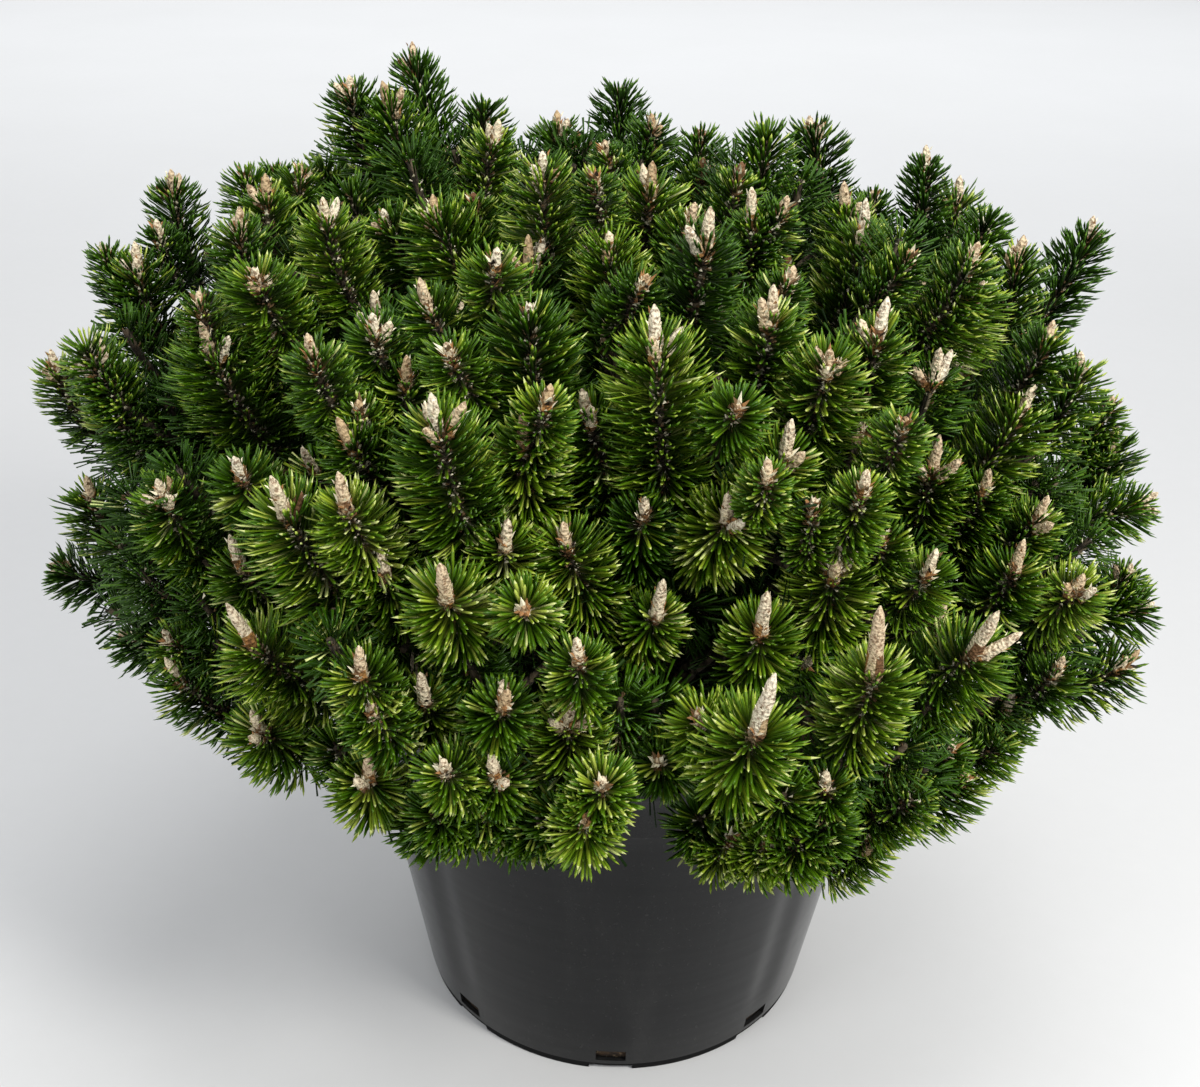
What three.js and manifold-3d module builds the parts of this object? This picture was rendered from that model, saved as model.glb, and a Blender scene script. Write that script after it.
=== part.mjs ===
// A mugo pine growing in a round nursery pot: pot, root ball, short stem, boughs and masses of foliage.
// Millimetres, +Z up, the front is -Y. The origin is the centre of the pot's flat underside.
import * as THREE from "three";
import { ConvexGeometry } from "three/addons/geometries/ConvexGeometry.js";
import { mergeVertices } from "three/addons/utils/BufferGeometryUtils.js";
import Module from "manifold-3d";

// ---- Driving dimensions ----

const SEAT_GAP = 0.3; // left between pieces that bear on each other
const CLEFT = 4; // open cleft between neighbouring masses
const WELD = 1e-3; // corners nearer than this are one corner
const LEAST_VOLUME = 1; // crumbs smaller than this are dropped from a cut
const SEED = 20; // of the crown's unevenness

const POT = {
  height: 270,
  footRadius: 137,
  taper: 0.165, // growth of the radius with height
  wall: 3,
  floor: 6,
  footBevel: 3,
  bandHeight: 40, // thicker band below the lip
  bandStep: 1.5,
  bandBevel: 1,
  lipHeight: 7,
  lipReach: 4,
  lipBevel: 2,
  mouthBevel: 1,
  sides: 36,
};
const DRAIN = { count: 8, width: 29, height: 13, reach: 4, first: -91 };
const COMPOST = { depthBelowLip: 25, dish: 3, flat: 60 };

const STEM = { foot: 37, flare: 18, waist: 24, tip: 19, height: 112, sides: 14, steps: 10, lean: 4 };

// A bough leaves the stem with some lift in degrees over half its mass's elevation. The straight runs at
// its two ends and its sag are shares of its span, and its radius falls with a power of the way along it.
const BOUGH = { sides: 7, steps: 7, tip: 5.5, lift: 14, leave: 0.4, arrive: 0.35, sag: 0.06, thinning: 0.8 };

const CROWN = {
  hub: new THREE.Vector3(-17, 0, 380), // level where the crown is widest
  reachX: 322,
  reachY: 312,
  rise: 218,
  drop: 140,
  squareness: 2.7,
  valley: 0.86, // depth of the hollows between shoots, as a share of the crown's reach
  unevenness: 0.035,
  leaderShare: 2, // how far leading shoots may stand out, as a share of the crown's reach
};
const CORE = { centre: new THREE.Vector3(-4, 0, 345), radius: 125, halfHeight: 98 };
const SKIRT_SLOPE = Math.tan(THREE.MathUtils.degToRad(22)); // fall of the skirt's underside past the rim

// Rings of masses from the skirt up to the top. Elevation is the angle above the hub's level, depth the
// share of the crown's reach at which a mass is centred, leave the height on the stem where its bough
// starts, alternate the extra height of every second bough, and foot the bough's radius there.
const TIERS = [
  { name: "skirt", count: 10, elevation: -3, depth: 0.72, turn: 8, leave: 18, alternate: 21, foot: 10 },
  { name: "shoulder", count: 8, elevation: 33, depth: 0.7, turn: 22, leave: 58, alternate: 19, foot: 9.5 },
  { name: "crest", count: 5, elevation: 57, depth: 0.66, turn: 50, leave: 84, alternate: 0, foot: 8.5 },
  { name: "top", count: 1, elevation: 90, depth: 0.6, turn: 0, leave: 104, alternate: 0, foot: 8 },
];
const MASS = {
  shoots: 30,
  siteJitter: 0.05,
  bearingJitter: 0.15,
  directionJitter: 0.16,
  clearOfLeader: 0.9, // cosine of the angle round a leading shoot that is left free of other tips
  leastEntry: 20, // a bough is taken to run at least this far into its mass
};
const PROBE = { step: 3, finest: 0.1 }; // strides in which a mass's surface is felt for

// Leading shoots that stand clear of the rest: bearing in degrees from +X, distance from the stem's axis
// and height of the tip.
const LEADERS = [
  { name: "tallest", bearing: 163, out: 139, height: 632 },
  { name: "crest_left", bearing: 173, out: 168, height: 612 },
  { name: "crest_back", bearing: 99, out: 60, height: 612 },
  { name: "crest_right", bearing: 25, out: 117, height: 598 },
  { name: "shoulder_left", bearing: 176, out: 279, height: 560 },
  { name: "shoulder_right", bearing: 7, out: 166, height: 588 },
  { name: "far_right", bearing: 0, out: 279, height: 549 },
  { name: "left_high", bearing: 184, out: 316, height: 521 },
  { name: "left_edge", bearing: 190, out: 346, height: 463 },
  { name: "right_high", bearing: -8, out: 298, height: 452 },
  { name: "right_edge", bearing: -14, out: 322, height: 406 },
  { name: "low_left", bearing: 195, out: 357, height: 357 },
  { name: "low_right", bearing: -24, out: 330, height: 328 },
  { name: "fringe_right", bearing: -42, out: 285, height: 262 },
  { name: "fringe_low_right", bearing: -50, out: 284, height: 252 },
  { name: "fringe_front_right", bearing: -59, out: 274, height: 247 },
  { name: "fringe_front", bearing: -97, out: 246, height: 252 },
  { name: "fringe_front_left", bearing: -115, out: 256, height: 251 },
];

const COLOURS = { pot: 0x2f3132, compost: 0x3a2a1d, bark: 0x4a3b30, foliage: 0x2f5a22 };

// ---- Solids ----

const wasm = await Module();
wasm.setup();

/** A repeatable stream of numbers from 0 to 1. */
function seededStream(seed) {
  let state = seed;
  return () => {
    state = (state + 0x6d2b79f5) | 0;
    let mixed = Math.imul(state ^ (state >>> 15), 1 | state);
    mixed = (mixed + Math.imul(mixed ^ (mixed >>> 7), 61 | mixed)) ^ mixed;
    return ((mixed ^ (mixed >>> 14)) >>> 0) / 4294967296;
  };
}

/** A closed geometry as a solid, turned face out where its faces point in. */
function solidOf(geometry) {
  const bare = new THREE.BufferGeometry();
  bare.setAttribute("position", geometry.getAttribute("position"));
  bare.setIndex(geometry.index);
  const merged = mergeVertices(bare, WELD);
  const corners = Array.from(merged.index.array);
  const used = [];
  for (let i = 0; i < corners.length; i += 3) {
    const [a, b, c] = corners.slice(i, i + 3);
    if (a !== b && b !== c && c !== a) used.push(a, b, c);
  }
  const vertProperties = new Float32Array(merged.getAttribute("position").array);
  const made = new wasm.Manifold(
    new wasm.Mesh({ numProp: 3, vertProperties, triVerts: new Uint32Array(used) }),
  );
  if (made.volume() > 0) return made;
  for (let i = 0; i < used.length; i += 3) {
    [used[i + 1], used[i + 2]] = [used[i + 2], used[i + 1]];
  }
  return new wasm.Manifold(
    new wasm.Mesh({ numProp: 3, vertProperties, triVerts: new Uint32Array(used) }),
  );
}

/** A solid's surface as a geometry. */
function geometryOf(solid) {
  const mesh = solid.getMesh();
  const geometry = new THREE.BufferGeometry();
  geometry.setAttribute("position", new THREE.BufferAttribute(mesh.vertProperties, 3));
  geometry.setIndex(new THREE.BufferAttribute(mesh.triVerts, 1));
  geometry.computeVertexNormals();
  return geometry;
}

/** A profile of [radius, height] corners turned about the Z axis. */
function turned(profile, sides) {
  const points = profile.map(([radius, height]) => new THREE.Vector2(radius, height));
  return new THREE.LatheGeometry(points, sides).rotateX(Math.PI / 2);
}

/** A round limb along a curve: a closed cylinder bent to the curve, with radiusAt(0 to 1) as its radius. */
function limb(curve, radiusAt, sides, steps) {
  const geometry = new THREE.CylinderGeometry(1, 1, 1, sides, steps);
  const frames = curve.computeFrenetFrames(steps, false);
  const position = geometry.getAttribute("position");
  const point = new THREE.Vector3();
  for (let i = 0; i < position.count; i += 1) {
    const along = position.getY(i) + 0.5;
    const ring = Math.round(along * steps);
    const radius = radiusAt(along);
    curve.getPointAt(along, point);
    point.addScaledVector(frames.normals[ring], radius * position.getX(i));
    point.addScaledVector(frames.binormals[ring], radius * position.getZ(i));
    position.setXYZ(i, point.x, point.y, point.z);
  }
  return geometry;
}

/** The body of a cut solid that lies nearest to a point, where the cut left more than one. */
function nearestBody(solid, point) {
  const gapTo = (body) => {
    const { min, max } = body.boundingBox();
    return new THREE.Box3(new THREE.Vector3(...min), new THREE.Vector3(...max)).distanceToPoint(point);
  };
  const bodies = solid.decompose().filter((body) => body.volume() > LEAST_VOLUME);
  return bodies.sort((a, b) => gapTo(a) - gapTo(b))[0];
}

// ---- Pot and root ball ----

const lipUnderside = POT.height - POT.lipHeight;
const bandUnderside = POT.height - POT.bandHeight;
const wallRadius = (height) => POT.footRadius + POT.taper * height;

function potSolid() {
  const shell = solidOf(
    turned(
      [
        [0, 0],
        [POT.footRadius - POT.footBevel, 0],
        [POT.footRadius, POT.footBevel],
        [wallRadius(bandUnderside), bandUnderside],
        [wallRadius(bandUnderside) + POT.bandStep, bandUnderside + POT.bandBevel],
        [wallRadius(lipUnderside) + POT.bandStep, lipUnderside],
        [wallRadius(lipUnderside) + POT.lipReach, lipUnderside],
        [wallRadius(POT.height) + POT.lipReach, POT.height - POT.lipBevel],
        [wallRadius(POT.height) + POT.lipReach - POT.lipBevel, POT.height],
        [wallRadius(POT.height) - POT.wall + POT.mouthBevel, POT.height],
        [wallRadius(POT.height) - POT.wall, POT.height - POT.mouthBevel],
        [wallRadius(POT.floor) - POT.wall, POT.floor],
        [0, POT.floor],
      ],
      POT.sides,
    ),
  );
  let pot = shell;
  for (let i = 0; i < DRAIN.count; i += 1) {
    const bearing = THREE.MathUtils.degToRad(DRAIN.first + (i * 360) / DRAIN.count);
    const slot = new THREE.BoxGeometry(4 * DRAIN.reach, DRAIN.width, 2 * DRAIN.height);
    slot.translate(POT.footRadius + DRAIN.reach, 0, 0).rotateZ(bearing);
    pot = pot.subtract(solidOf(slot));
  }
  return pot;
}

const compostTop = POT.height - COMPOST.depthBelowLip;

function rootBallSolid() {
  const clear = POT.wall + SEAT_GAP;
  const base = POT.floor + SEAT_GAP;
  return solidOf(
    turned(
      [
        [0, base],
        [wallRadius(base) - clear, base],
        [wallRadius(compostTop - 2 * COMPOST.dish) - clear, compostTop - 2 * COMPOST.dish],
        [(COMPOST.flat + wallRadius(compostTop)) / 2, compostTop - COMPOST.dish],
        [COMPOST.flat, compostTop],
        [0, compostTop],
      ],
      POT.sides,
    ),
  );
}

// ---- Crown ----

const random = seededStream(SEED);
const jitter = (share) => 1 + share * (2 * random() - 1);

/** How far out a point lies from the hub, as a share of the crown's reach that way. */
function crownShare(point) {
  const across = Math.hypot((point.x - CROWN.hub.x) / CROWN.reachX, (point.y - CROWN.hub.y) / CROWN.reachY);
  const height = point.z - CROWN.hub.z;
  const up = Math.abs(height) / (height > 0 ? CROWN.rise : CROWN.drop);
  return (across ** CROWN.squareness + up ** CROWN.squareness) ** (1 / CROWN.squareness);
}

/** Whether a point is inside the hollow core that holds the stem and the bare boughs. */
function insideCore(point) {
  const across = Math.hypot(point.x - CORE.centre.x, point.y - CORE.centre.y) / CORE.radius;
  return Math.hypot(across, (point.z - CORE.centre.z) / CORE.halfHeight) < 1;
}

/** The unit vector with a bearing from +X and an elevation above level, both in degrees. */
function heading(bearing, elevation) {
  const polar = THREE.MathUtils.degToRad(90 - elevation);
  const turn = THREE.MathUtils.degToRad(bearing);
  return new THREE.Vector3(
    Math.sin(polar) * Math.cos(turn),
    Math.sin(polar) * Math.sin(turn),
    Math.cos(polar),
  );
}

/** Where each mass is centred, ring by ring, with the tier and number that it belongs to. */
function massSites() {
  const sites = [];
  for (const tier of TIERS) {
    for (let i = 0; i < tier.count; i += 1) {
      const bearing = tier.turn + ((i + MASS.bearingJitter * (random() - 0.5)) * 360) / tier.count;
      const direction = heading(bearing, tier.elevation);
      const reach = 1 / crownShare(direction.clone().add(CROWN.hub));
      const centre = CROWN.hub.clone();
      centre.addScaledVector(direction, reach * tier.depth * jitter(MASS.siteJitter));
      sites.push({ tier, number: i + 1, bearing, centre, leaders: [] });
    }
  }
  return sites;
}

const sites = massSites();
for (const leader of LEADERS) {
  const level = heading(leader.bearing, 0).multiplyScalar(leader.out);
  const tip = new THREE.Vector3(level.x, level.y, leader.height);
  const nearest = sites.reduce((a, b) => (a.centre.distanceTo(tip) < b.centre.distanceTo(tip) ? a : b));
  nearest.leaders.push(tip);
}

/** Flat limits of a mass: half-way planes to its neighbours, and a slope that clears the pot's rim. */
function limitsOf(site) {
  const limits = sites
    .filter((other) => other !== site)
    .map((other) => {
      const normal = other.centre.clone().sub(site.centre);
      const middle = normal.clone().multiplyScalar(0.5).add(site.centre);
      normal.normalize();
      return new THREE.Plane().setFromNormalAndCoplanarPoint(
        normal,
        middle.addScaledVector(normal, -CLEFT / 2),
      );
    });
  const outward = heading(site.bearing, 0);
  const rim = outward.clone().multiplyScalar(wallRadius(POT.height) + POT.lipReach + CLEFT);
  rim.z = POT.height + CLEFT;
  const down = outward.multiplyScalar(-SKIRT_SLOPE).add(new THREE.Vector3(0, 0, -1)).normalize();
  limits.push(new THREE.Plane().setFromNormalAndCoplanarPoint(down, rim));
  return limits;
}

/** How far a mass reaches from its centre along a direction before it meets a limit. */
function reachAlong(site, limits, direction, share) {
  const point = new THREE.Vector3();
  const free = (distance) => {
    point.copy(site.centre).addScaledVector(direction, distance);
    return crownShare(point) < share && !insideCore(point);
  };
  let reach = PROBE.step;
  while (reach < 2 * CROWN.reachX && free(reach)) reach += PROBE.step;
  for (let part = PROBE.step / 2; part > PROBE.finest; part /= 2) reach += free(reach) ? part : -part;
  for (const plane of limits) {
    const approach = direction.dot(plane.normal);
    if (approach > 0) reach = Math.min(reach, -plane.distanceToPoint(site.centre) / approach);
  }
  return reach;
}

/** A mass of shoots: tips spread evenly over all directions from its centre, with hollows between them. */
function massSolid(site) {
  const limits = limitsOf(site);
  const tips = [];
  for (const tip of site.leaders) {
    const direction = tip.clone().sub(site.centre);
    const distance = direction.length();
    direction.normalize();
    const farthest = reachAlong(site, limits, direction, CROWN.leaderShare);
    tips.push({ direction, reach: Math.min(distance, farthest) });
  }
  const goldenTurn = Math.PI * (3 - Math.sqrt(5));
  const start = 2 * Math.PI * random();
  for (let i = 0; i < MASS.shoots; i += 1) {
    const level = 1 - (2 * i + 1) / MASS.shoots;
    const ring = Math.sqrt(1 - level * level);
    const direction = new THREE.Vector3(
      ring * Math.cos(start + i * goldenTurn) + MASS.directionJitter * (random() - 0.5),
      ring * Math.sin(start + i * goldenTurn) + MASS.directionJitter * (random() - 0.5),
      level + MASS.directionJitter * (random() - 0.5),
    ).normalize();
    const share = jitter(CROWN.unevenness);
    const crowded = site.leaders.some(
      (tip) => direction.dot(tip.clone().sub(site.centre).normalize()) > MASS.clearOfLeader,
    );
    if (!crowded) tips.push({ direction, reach: reachAlong(site, limits, direction, share) });
  }
  const facets = new ConvexGeometry(tips.map((tip) => tip.direction)).getAttribute("position");
  const corners = [];
  for (let i = 0; i < facets.count; i += 3) {
    const ends = [0, 1, 2].map((k) => new THREE.Vector3().fromBufferAttribute(facets, i + k));
    const middle = ends[0].clone().add(ends[1]).add(ends[2]).normalize();
    const hollow = middle.clone().multiplyScalar(reachAlong(site, limits, middle, CROWN.valley));
    const outer = ends.map((end) => {
      const tip = tips.reduce((a, b) => (a.direction.distanceTo(end) < b.direction.distanceTo(end) ? a : b));
      return tip.direction.clone().multiplyScalar(tip.reach);
    });
    for (let k = 0; k < 3; k += 1) corners.push(outer[k], outer[(k + 1) % 3], hollow);
  }
  const geometry = new THREE.BufferGeometry().setFromPoints(corners);
  geometry.translate(site.centre.x, site.centre.y, site.centre.z);
  return solidOf(geometry);
}

// ---- Stem and boughs ----

const stemFoot = compostTop + SEAT_GAP;
const stemCurve = new THREE.QuadraticBezierCurve3(
  new THREE.Vector3(0, 0, stemFoot),
  new THREE.Vector3(0, 0, stemFoot + STEM.height / 2),
  new THREE.Vector3(-STEM.lean, 0, stemFoot + STEM.height),
);

function stemSolid(extra) {
  const flareShare = STEM.flare / STEM.height;
  const radiusAt = (along) => {
    const flare = (STEM.foot - STEM.waist) * Math.max(0, 1 - along / (2 * flareShare)) ** 2;
    return extra + flare + THREE.MathUtils.lerp(STEM.waist, STEM.tip, along);
  };
  return solidOf(limb(stemCurve, radiusAt, STEM.sides, STEM.steps));
}

/** A bough from the stem's middle line, out and up to the centre of its mass, made thicker by extra. */
function boughSolid(site, extra) {
  const height = site.tier.leave + (site.number % 2) * site.tier.alternate;
  const start = stemCurve.getPointAt(height / STEM.height);
  const span = site.centre.distanceTo(start);
  const outward = heading(site.bearing, site.tier.elevation / 2 + BOUGH.lift);
  const curve = new THREE.CubicBezierCurve3(
    start,
    start.clone().addScaledVector(outward, span * BOUGH.leave),
    site.centre.clone().lerp(start, BOUGH.arrive).add(new THREE.Vector3(0, 0, -span * BOUGH.sag)),
    site.centre,
  );
  const radiusAt = (along) =>
    extra + THREE.MathUtils.lerp(site.tier.foot, BOUGH.tip, along ** BOUGH.thinning);
  return solidOf(limb(curve, radiusAt, BOUGH.sides, BOUGH.steps));
}

/** A mass made larger about its centre by the gap that a bough's end leaves. */
function roomFor(mass, centre, bough) {
  const common = mass.intersect(bough).boundingBox();
  const entry = new THREE.Box3(new THREE.Vector3(...common.min), new THREE.Vector3(...common.max));
  const depth = entry.getSize(new THREE.Vector3()).length();
  const scale = 1 + SEAT_GAP / Math.max(depth, MASS.leastEntry);
  return mass
    .translate([-centre.x, -centre.y, -centre.z])
    .scale([scale, scale, scale])
    .translate([centre.x, centre.y, centre.z]);
}

// ---- Assembly ----

const finishes = {
  pot: new THREE.MeshStandardMaterial({ color: COLOURS.pot, roughness: 0.42, metalness: 0 }),
  compost: new THREE.MeshStandardMaterial({ color: COLOURS.compost, roughness: 1, metalness: 0 }),
  bark: new THREE.MeshStandardMaterial({ color: COLOURS.bark, roughness: 0.9, metalness: 0 }),
  foliage: new THREE.MeshStandardMaterial({ color: COLOURS.foliage, roughness: 0.6, metalness: 0 }),
};

const plant = new THREE.Group();

function addNode(name, solid, finish) {
  const mesh = new THREE.Mesh(geometryOf(solid), finish);
  mesh.name = name;
  plant.add(mesh);
}

addNode("pot", potSolid(), finishes.pot);
addNode("root_ball", rootBallSolid(), finishes.compost);
addNode("stem", stemSolid(0), finishes.bark);

const masses = sites.map(massSolid);
const stemMiddle = stemCurve.getPointAt(0.5);
const roomForStem = stemSolid(SEAT_GAP);
const taken = [roomForStem.add(roomForStem.translate([0, 0, SEAT_GAP]))];
sites.forEach((site, i) => {
  const number = site.tier.count > 1 ? "_" + String(site.number).padStart(2, "0") : "";
  let bough = boughSolid(site, 0);
  for (const room of taken) bough = bough.subtract(room);
  masses.forEach((mass, k) => {
    if (!mass.intersect(bough).isEmpty()) bough = bough.subtract(roomFor(mass, sites[k].centre, bough));
  });
  taken.push(boughSolid(site, SEAT_GAP));
  addNode("bough_" + site.tier.name + number, nearestBody(bough, stemMiddle), finishes.bark);
  addNode("mass_" + site.tier.name + number, masses[i], finishes.foliage);
});

export default plant;
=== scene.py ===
"""A mugo pine in a round nursery pot: pot, root ball, bark, twigs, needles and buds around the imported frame.

Lengths are in metres in the part's own frame: +Z up, the front is -Y, and the origin is the centre of the
pot's flat underside.
"""

import logging
import math
from dataclasses import dataclass, field, fields
from enum import Enum
from typing import ClassVar

import bpy
import numpy as np
from mathutils import Matrix, Vector
from mathutils.bvhtree import BVHTree


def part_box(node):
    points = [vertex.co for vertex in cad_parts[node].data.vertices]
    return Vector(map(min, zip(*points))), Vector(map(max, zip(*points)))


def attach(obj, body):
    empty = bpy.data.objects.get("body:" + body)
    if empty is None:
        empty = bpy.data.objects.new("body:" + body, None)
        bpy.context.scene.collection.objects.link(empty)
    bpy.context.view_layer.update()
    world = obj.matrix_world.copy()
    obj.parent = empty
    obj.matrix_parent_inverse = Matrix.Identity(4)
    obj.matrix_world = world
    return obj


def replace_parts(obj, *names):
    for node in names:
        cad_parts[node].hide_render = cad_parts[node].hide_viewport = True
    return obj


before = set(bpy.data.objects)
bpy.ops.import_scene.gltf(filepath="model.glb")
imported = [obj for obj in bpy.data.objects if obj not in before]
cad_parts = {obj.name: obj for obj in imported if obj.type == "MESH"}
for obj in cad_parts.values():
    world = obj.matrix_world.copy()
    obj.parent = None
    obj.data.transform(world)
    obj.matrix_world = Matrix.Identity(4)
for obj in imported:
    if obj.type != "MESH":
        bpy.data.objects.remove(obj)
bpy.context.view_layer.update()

MM = 0.001
CENTIMETRES = 100  # in a metre
GOLDEN_TURN = math.pi * (3.0 - math.sqrt(5.0))
UP = np.array([0.0, 0.0, 1.0])
# a shoot's painted light: only the lining's shoots are painted in deeper shade than this
LINING_LIGHT = -2.0  # only the lining's shoots are darker than this
log = logging.getLogger("mugo_pine")

Triple = tuple[float, float, float]
Colour = Triple
Span = tuple[float, float]
Shares = tuple[tuple[int, float], ...]
Array = np.ndarray
Rng = np.random.Generator
Piece = bpy.types.Object
Materials = list[bpy.types.Material]


# ---- Shader building ----


@dataclass(frozen=True)
class Socket:
    """A shader output that turns arithmetic into Math nodes."""

    nodes: "Nodes"
    out: bpy.types.NodeSocket

    def _math(self, operation: str, first: object, second: object) -> "Socket":
        """Adds one Math node for first (operation) second."""
        return self.nodes.add("ShaderNodeMath", {"operation": operation}, {0: first, 1: second})

    def __add__(self, other: object) -> "Socket":
        """Sum."""
        return self._math("ADD", self, other)

    def __radd__(self, other: object) -> "Socket":
        """Sum with a number on the left."""
        return self._math("ADD", other, self)

    def __sub__(self, other: object) -> "Socket":
        """Difference."""
        return self._math("SUBTRACT", self, other)

    def __rsub__(self, other: object) -> "Socket":
        """Difference with a number on the left."""
        return self._math("SUBTRACT", other, self)

    def __mul__(self, other: object) -> "Socket":
        """Product."""
        return self._math("MULTIPLY", self, other)

    def __rmul__(self, other: object) -> "Socket":
        """Product with a number on the left."""
        return self._math("MULTIPLY", other, self)


class Nodes:
    """The shader of one material, built as expressions on sockets."""

    def __init__(self, name: str) -> None:
        """Starts a material with an empty Principled surface.

        Args:
            name: the material's name.
        """
        self.material = bpy.data.materials.new(name)
        self.material.use_nodes = True
        self.tree = self.material.node_tree
        self.surface = self.tree.nodes["Principled BSDF"]
        self.where = Socket(self, self.tree.nodes.new("ShaderNodeTexCoord").outputs["Object"])

    def add(self, kind: str, settings: dict[str, str], inputs: dict[object, object],
            out: object = 0) -> Socket:
        """Adds any node.

        Args:
            kind: the node's type name.
            settings: attributes set first.
            inputs: values or sockets by input name or number.
            out: the output that the caller wants.

        Returns:
            That output.
        """
        node = self.tree.nodes.new(kind)
        for key, value in settings.items():
            setattr(node, key, value)
        for key, value in inputs.items():
            self.feed(node.inputs[key], value)
        return Socket(self, node.outputs[out])

    def feed(self, socket: bpy.types.NodeSocket, value: object) -> None:
        """Links a socket or sets its plain value.

        Args:
            socket: the input.
            value: a Socket, a number, or a colour or vector tuple.
        """
        if isinstance(value, Socket):
            self.tree.links.new(value.out, socket)
        elif isinstance(value, tuple) and socket.type == "RGBA":
            socket.default_value = (*value[:3], 1.0)
        else:
            socket.default_value = value

    def finish(self, **inputs: object) -> bpy.types.Material:
        """Feeds the surface; underscores in a name stand for spaces.

        Args:
            inputs: values or sockets by the surface's input names.

        Returns:
            The material.
        """
        for key, value in inputs.items():
            self.feed(self.surface.inputs[key.replace("_", " ")], value)
        return self.material

    def noise(self, scale: float, detail: float = 3.0, roughness: float = 0.55,
              at: Socket | None = None) -> Socket:
        """Noise from 0 to 1 on the piece's own coordinates.

        Args:
            scale: cells per metre.
            detail: octaves.
            roughness: weight of the finer octaves.
            at: other coordinates.

        Returns:
            The noise value.
        """
        values = {"Vector": at or self.where, "Scale": scale, "Detail": detail, "Roughness": roughness}
        return self.add("ShaderNodeTexNoise", {}, values)

    def stretched(self, factors: Triple) -> Socket:
        """The piece's coordinates multiplied by a factor on each axis."""
        return self.add("ShaderNodeMapping", {}, {"Vector": self.where, "Scale": factors})

    def mix(self, share: object, first: object, second: object) -> Socket:
        """Mixes two colours by a share from 0 to 1."""
        inputs = {"Factor": share, 6: first, 7: second}
        return self.add("ShaderNodeMix", {"data_type": "RGBA"}, inputs, 2)

    def between(self, value: Socket, low: float, high: float) -> Socket:
        """A value's place between low and high, held to 0 to 1."""
        return self.add("ShaderNodeMapRange", {}, {"Value": value, "From Min": low, "From Max": high})

    def bump(self, height: Socket, depth: float, strength: float = 1.0, over: Socket | None = None) -> Socket:
        """Turns a height into a normal.

        Args:
            height: the height, from 0 to 1.
            depth: what 1 stands for, in metres.
            strength: share of the effect.
            over: another normal to start from.

        Returns:
            The normal.
        """
        values = {"Height": height, "Distance": depth, "Strength": strength}
        return self.add("ShaderNodeBump", {}, values | ({"Normal": over} if over else {}))


def linked(name: str, data: bpy.types.ID) -> Piece:
    """Adds a new object to the scene.

    Args:
        name: its name.
        data: its mesh, light or camera data.

    Returns:
        The object, at the origin.
    """
    made = bpy.data.objects.new(name, data)
    bpy.context.scene.collection.objects.link(made)
    return made


# ---- Finishes ----


@dataclass(frozen=True)
class Plain:
    """One colour of a needle, bud scale or twig, dealt out by spray."""

    name: str
    colour: Colour
    roughness: float = 0.34
    shine: float = 0.42

    def material(self) -> bpy.types.Material:
        """Makes the material."""
        nodes = Nodes(self.name)
        return nodes.finish(Base_Color=self.colour, Roughness=self.roughness, Specular_IOR_Level=self.shine)


@dataclass(frozen=True)
class PotPlastic:
    """Charcoal moulded plastic with a satin skin, faint dust and scuffs, and a foot painted in shade at the
    floor.
    """

    colour: Colour = (0.0062, 0.0065, 0.0070)
    dust: Colour = (0.085, 0.083, 0.078)
    # painted shade: the foot's darker colour stands for the shade where the pot meets the floor
    foot: Colour = (0.0025, 0.0025, 0.0026)
    roughness: float = 0.10
    shine: float = 0.20
    streak_cells: Triple = (26.0, 26.0, 3.0)
    ripple_cells: Triple = (5.0, 5.0, 60.0)
    speck_cells: float = 420.0
    grain_cells: float = 1500.0
    ripple_depth: float = 0.0006
    grain_depth: float = 0.00012
    splash_height: float = 0.05
    foot_edge: Span = (0.0068, 0.0060)

    def material(self) -> bpy.types.Material:
        """Makes the material."""
        nodes = Nodes("pot_plastic")
        cloud = nodes.noise(9.0, 4.0)
        streak = nodes.noise(1.0, 5.0, 0.6, nodes.stretched(self.streak_cells))
        speck = nodes.between(nodes.noise(self.speck_cells, 2.0), 0.66, 0.72)
        height = nodes.add("ShaderNodeSeparateXYZ", {}, {"Vector": nodes.where}, 2)
        near_foot = 1.0 - nodes.between(height, 0.0, self.splash_height)
        dusty = nodes.between(streak, 0.52, 0.78) * 0.10 + speck * 0.16 + near_foot * cloud * 0.22
        grain = nodes.noise(self.grain_cells, 2.0)
        rough = self.roughness + cloud * 0.07 + streak * 0.05 + dusty * 0.5
        ripples = nodes.noise(1.0, 2.0, 0.5, nodes.stretched(self.ripple_cells))
        skin = nodes.bump(ripples, self.ripple_depth, 0.5)
        normal = nodes.bump(grain, self.grain_depth, 0.5, skin)
        wall = nodes.mix(dusty, self.colour, self.dust)
        # painted shade: the lowest band of the wall is darkened and made matt where the pot meets the floor
        painted_foot_shade = nodes.between(height, *self.foot_edge)
        colour, rough = nodes.mix(painted_foot_shade, wall, self.foot), rough + painted_foot_shade * 0.8
        return nodes.finish(Base_Color=colour, Roughness=rough, Specular_IOR_Level=self.shine, Normal=normal)


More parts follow.
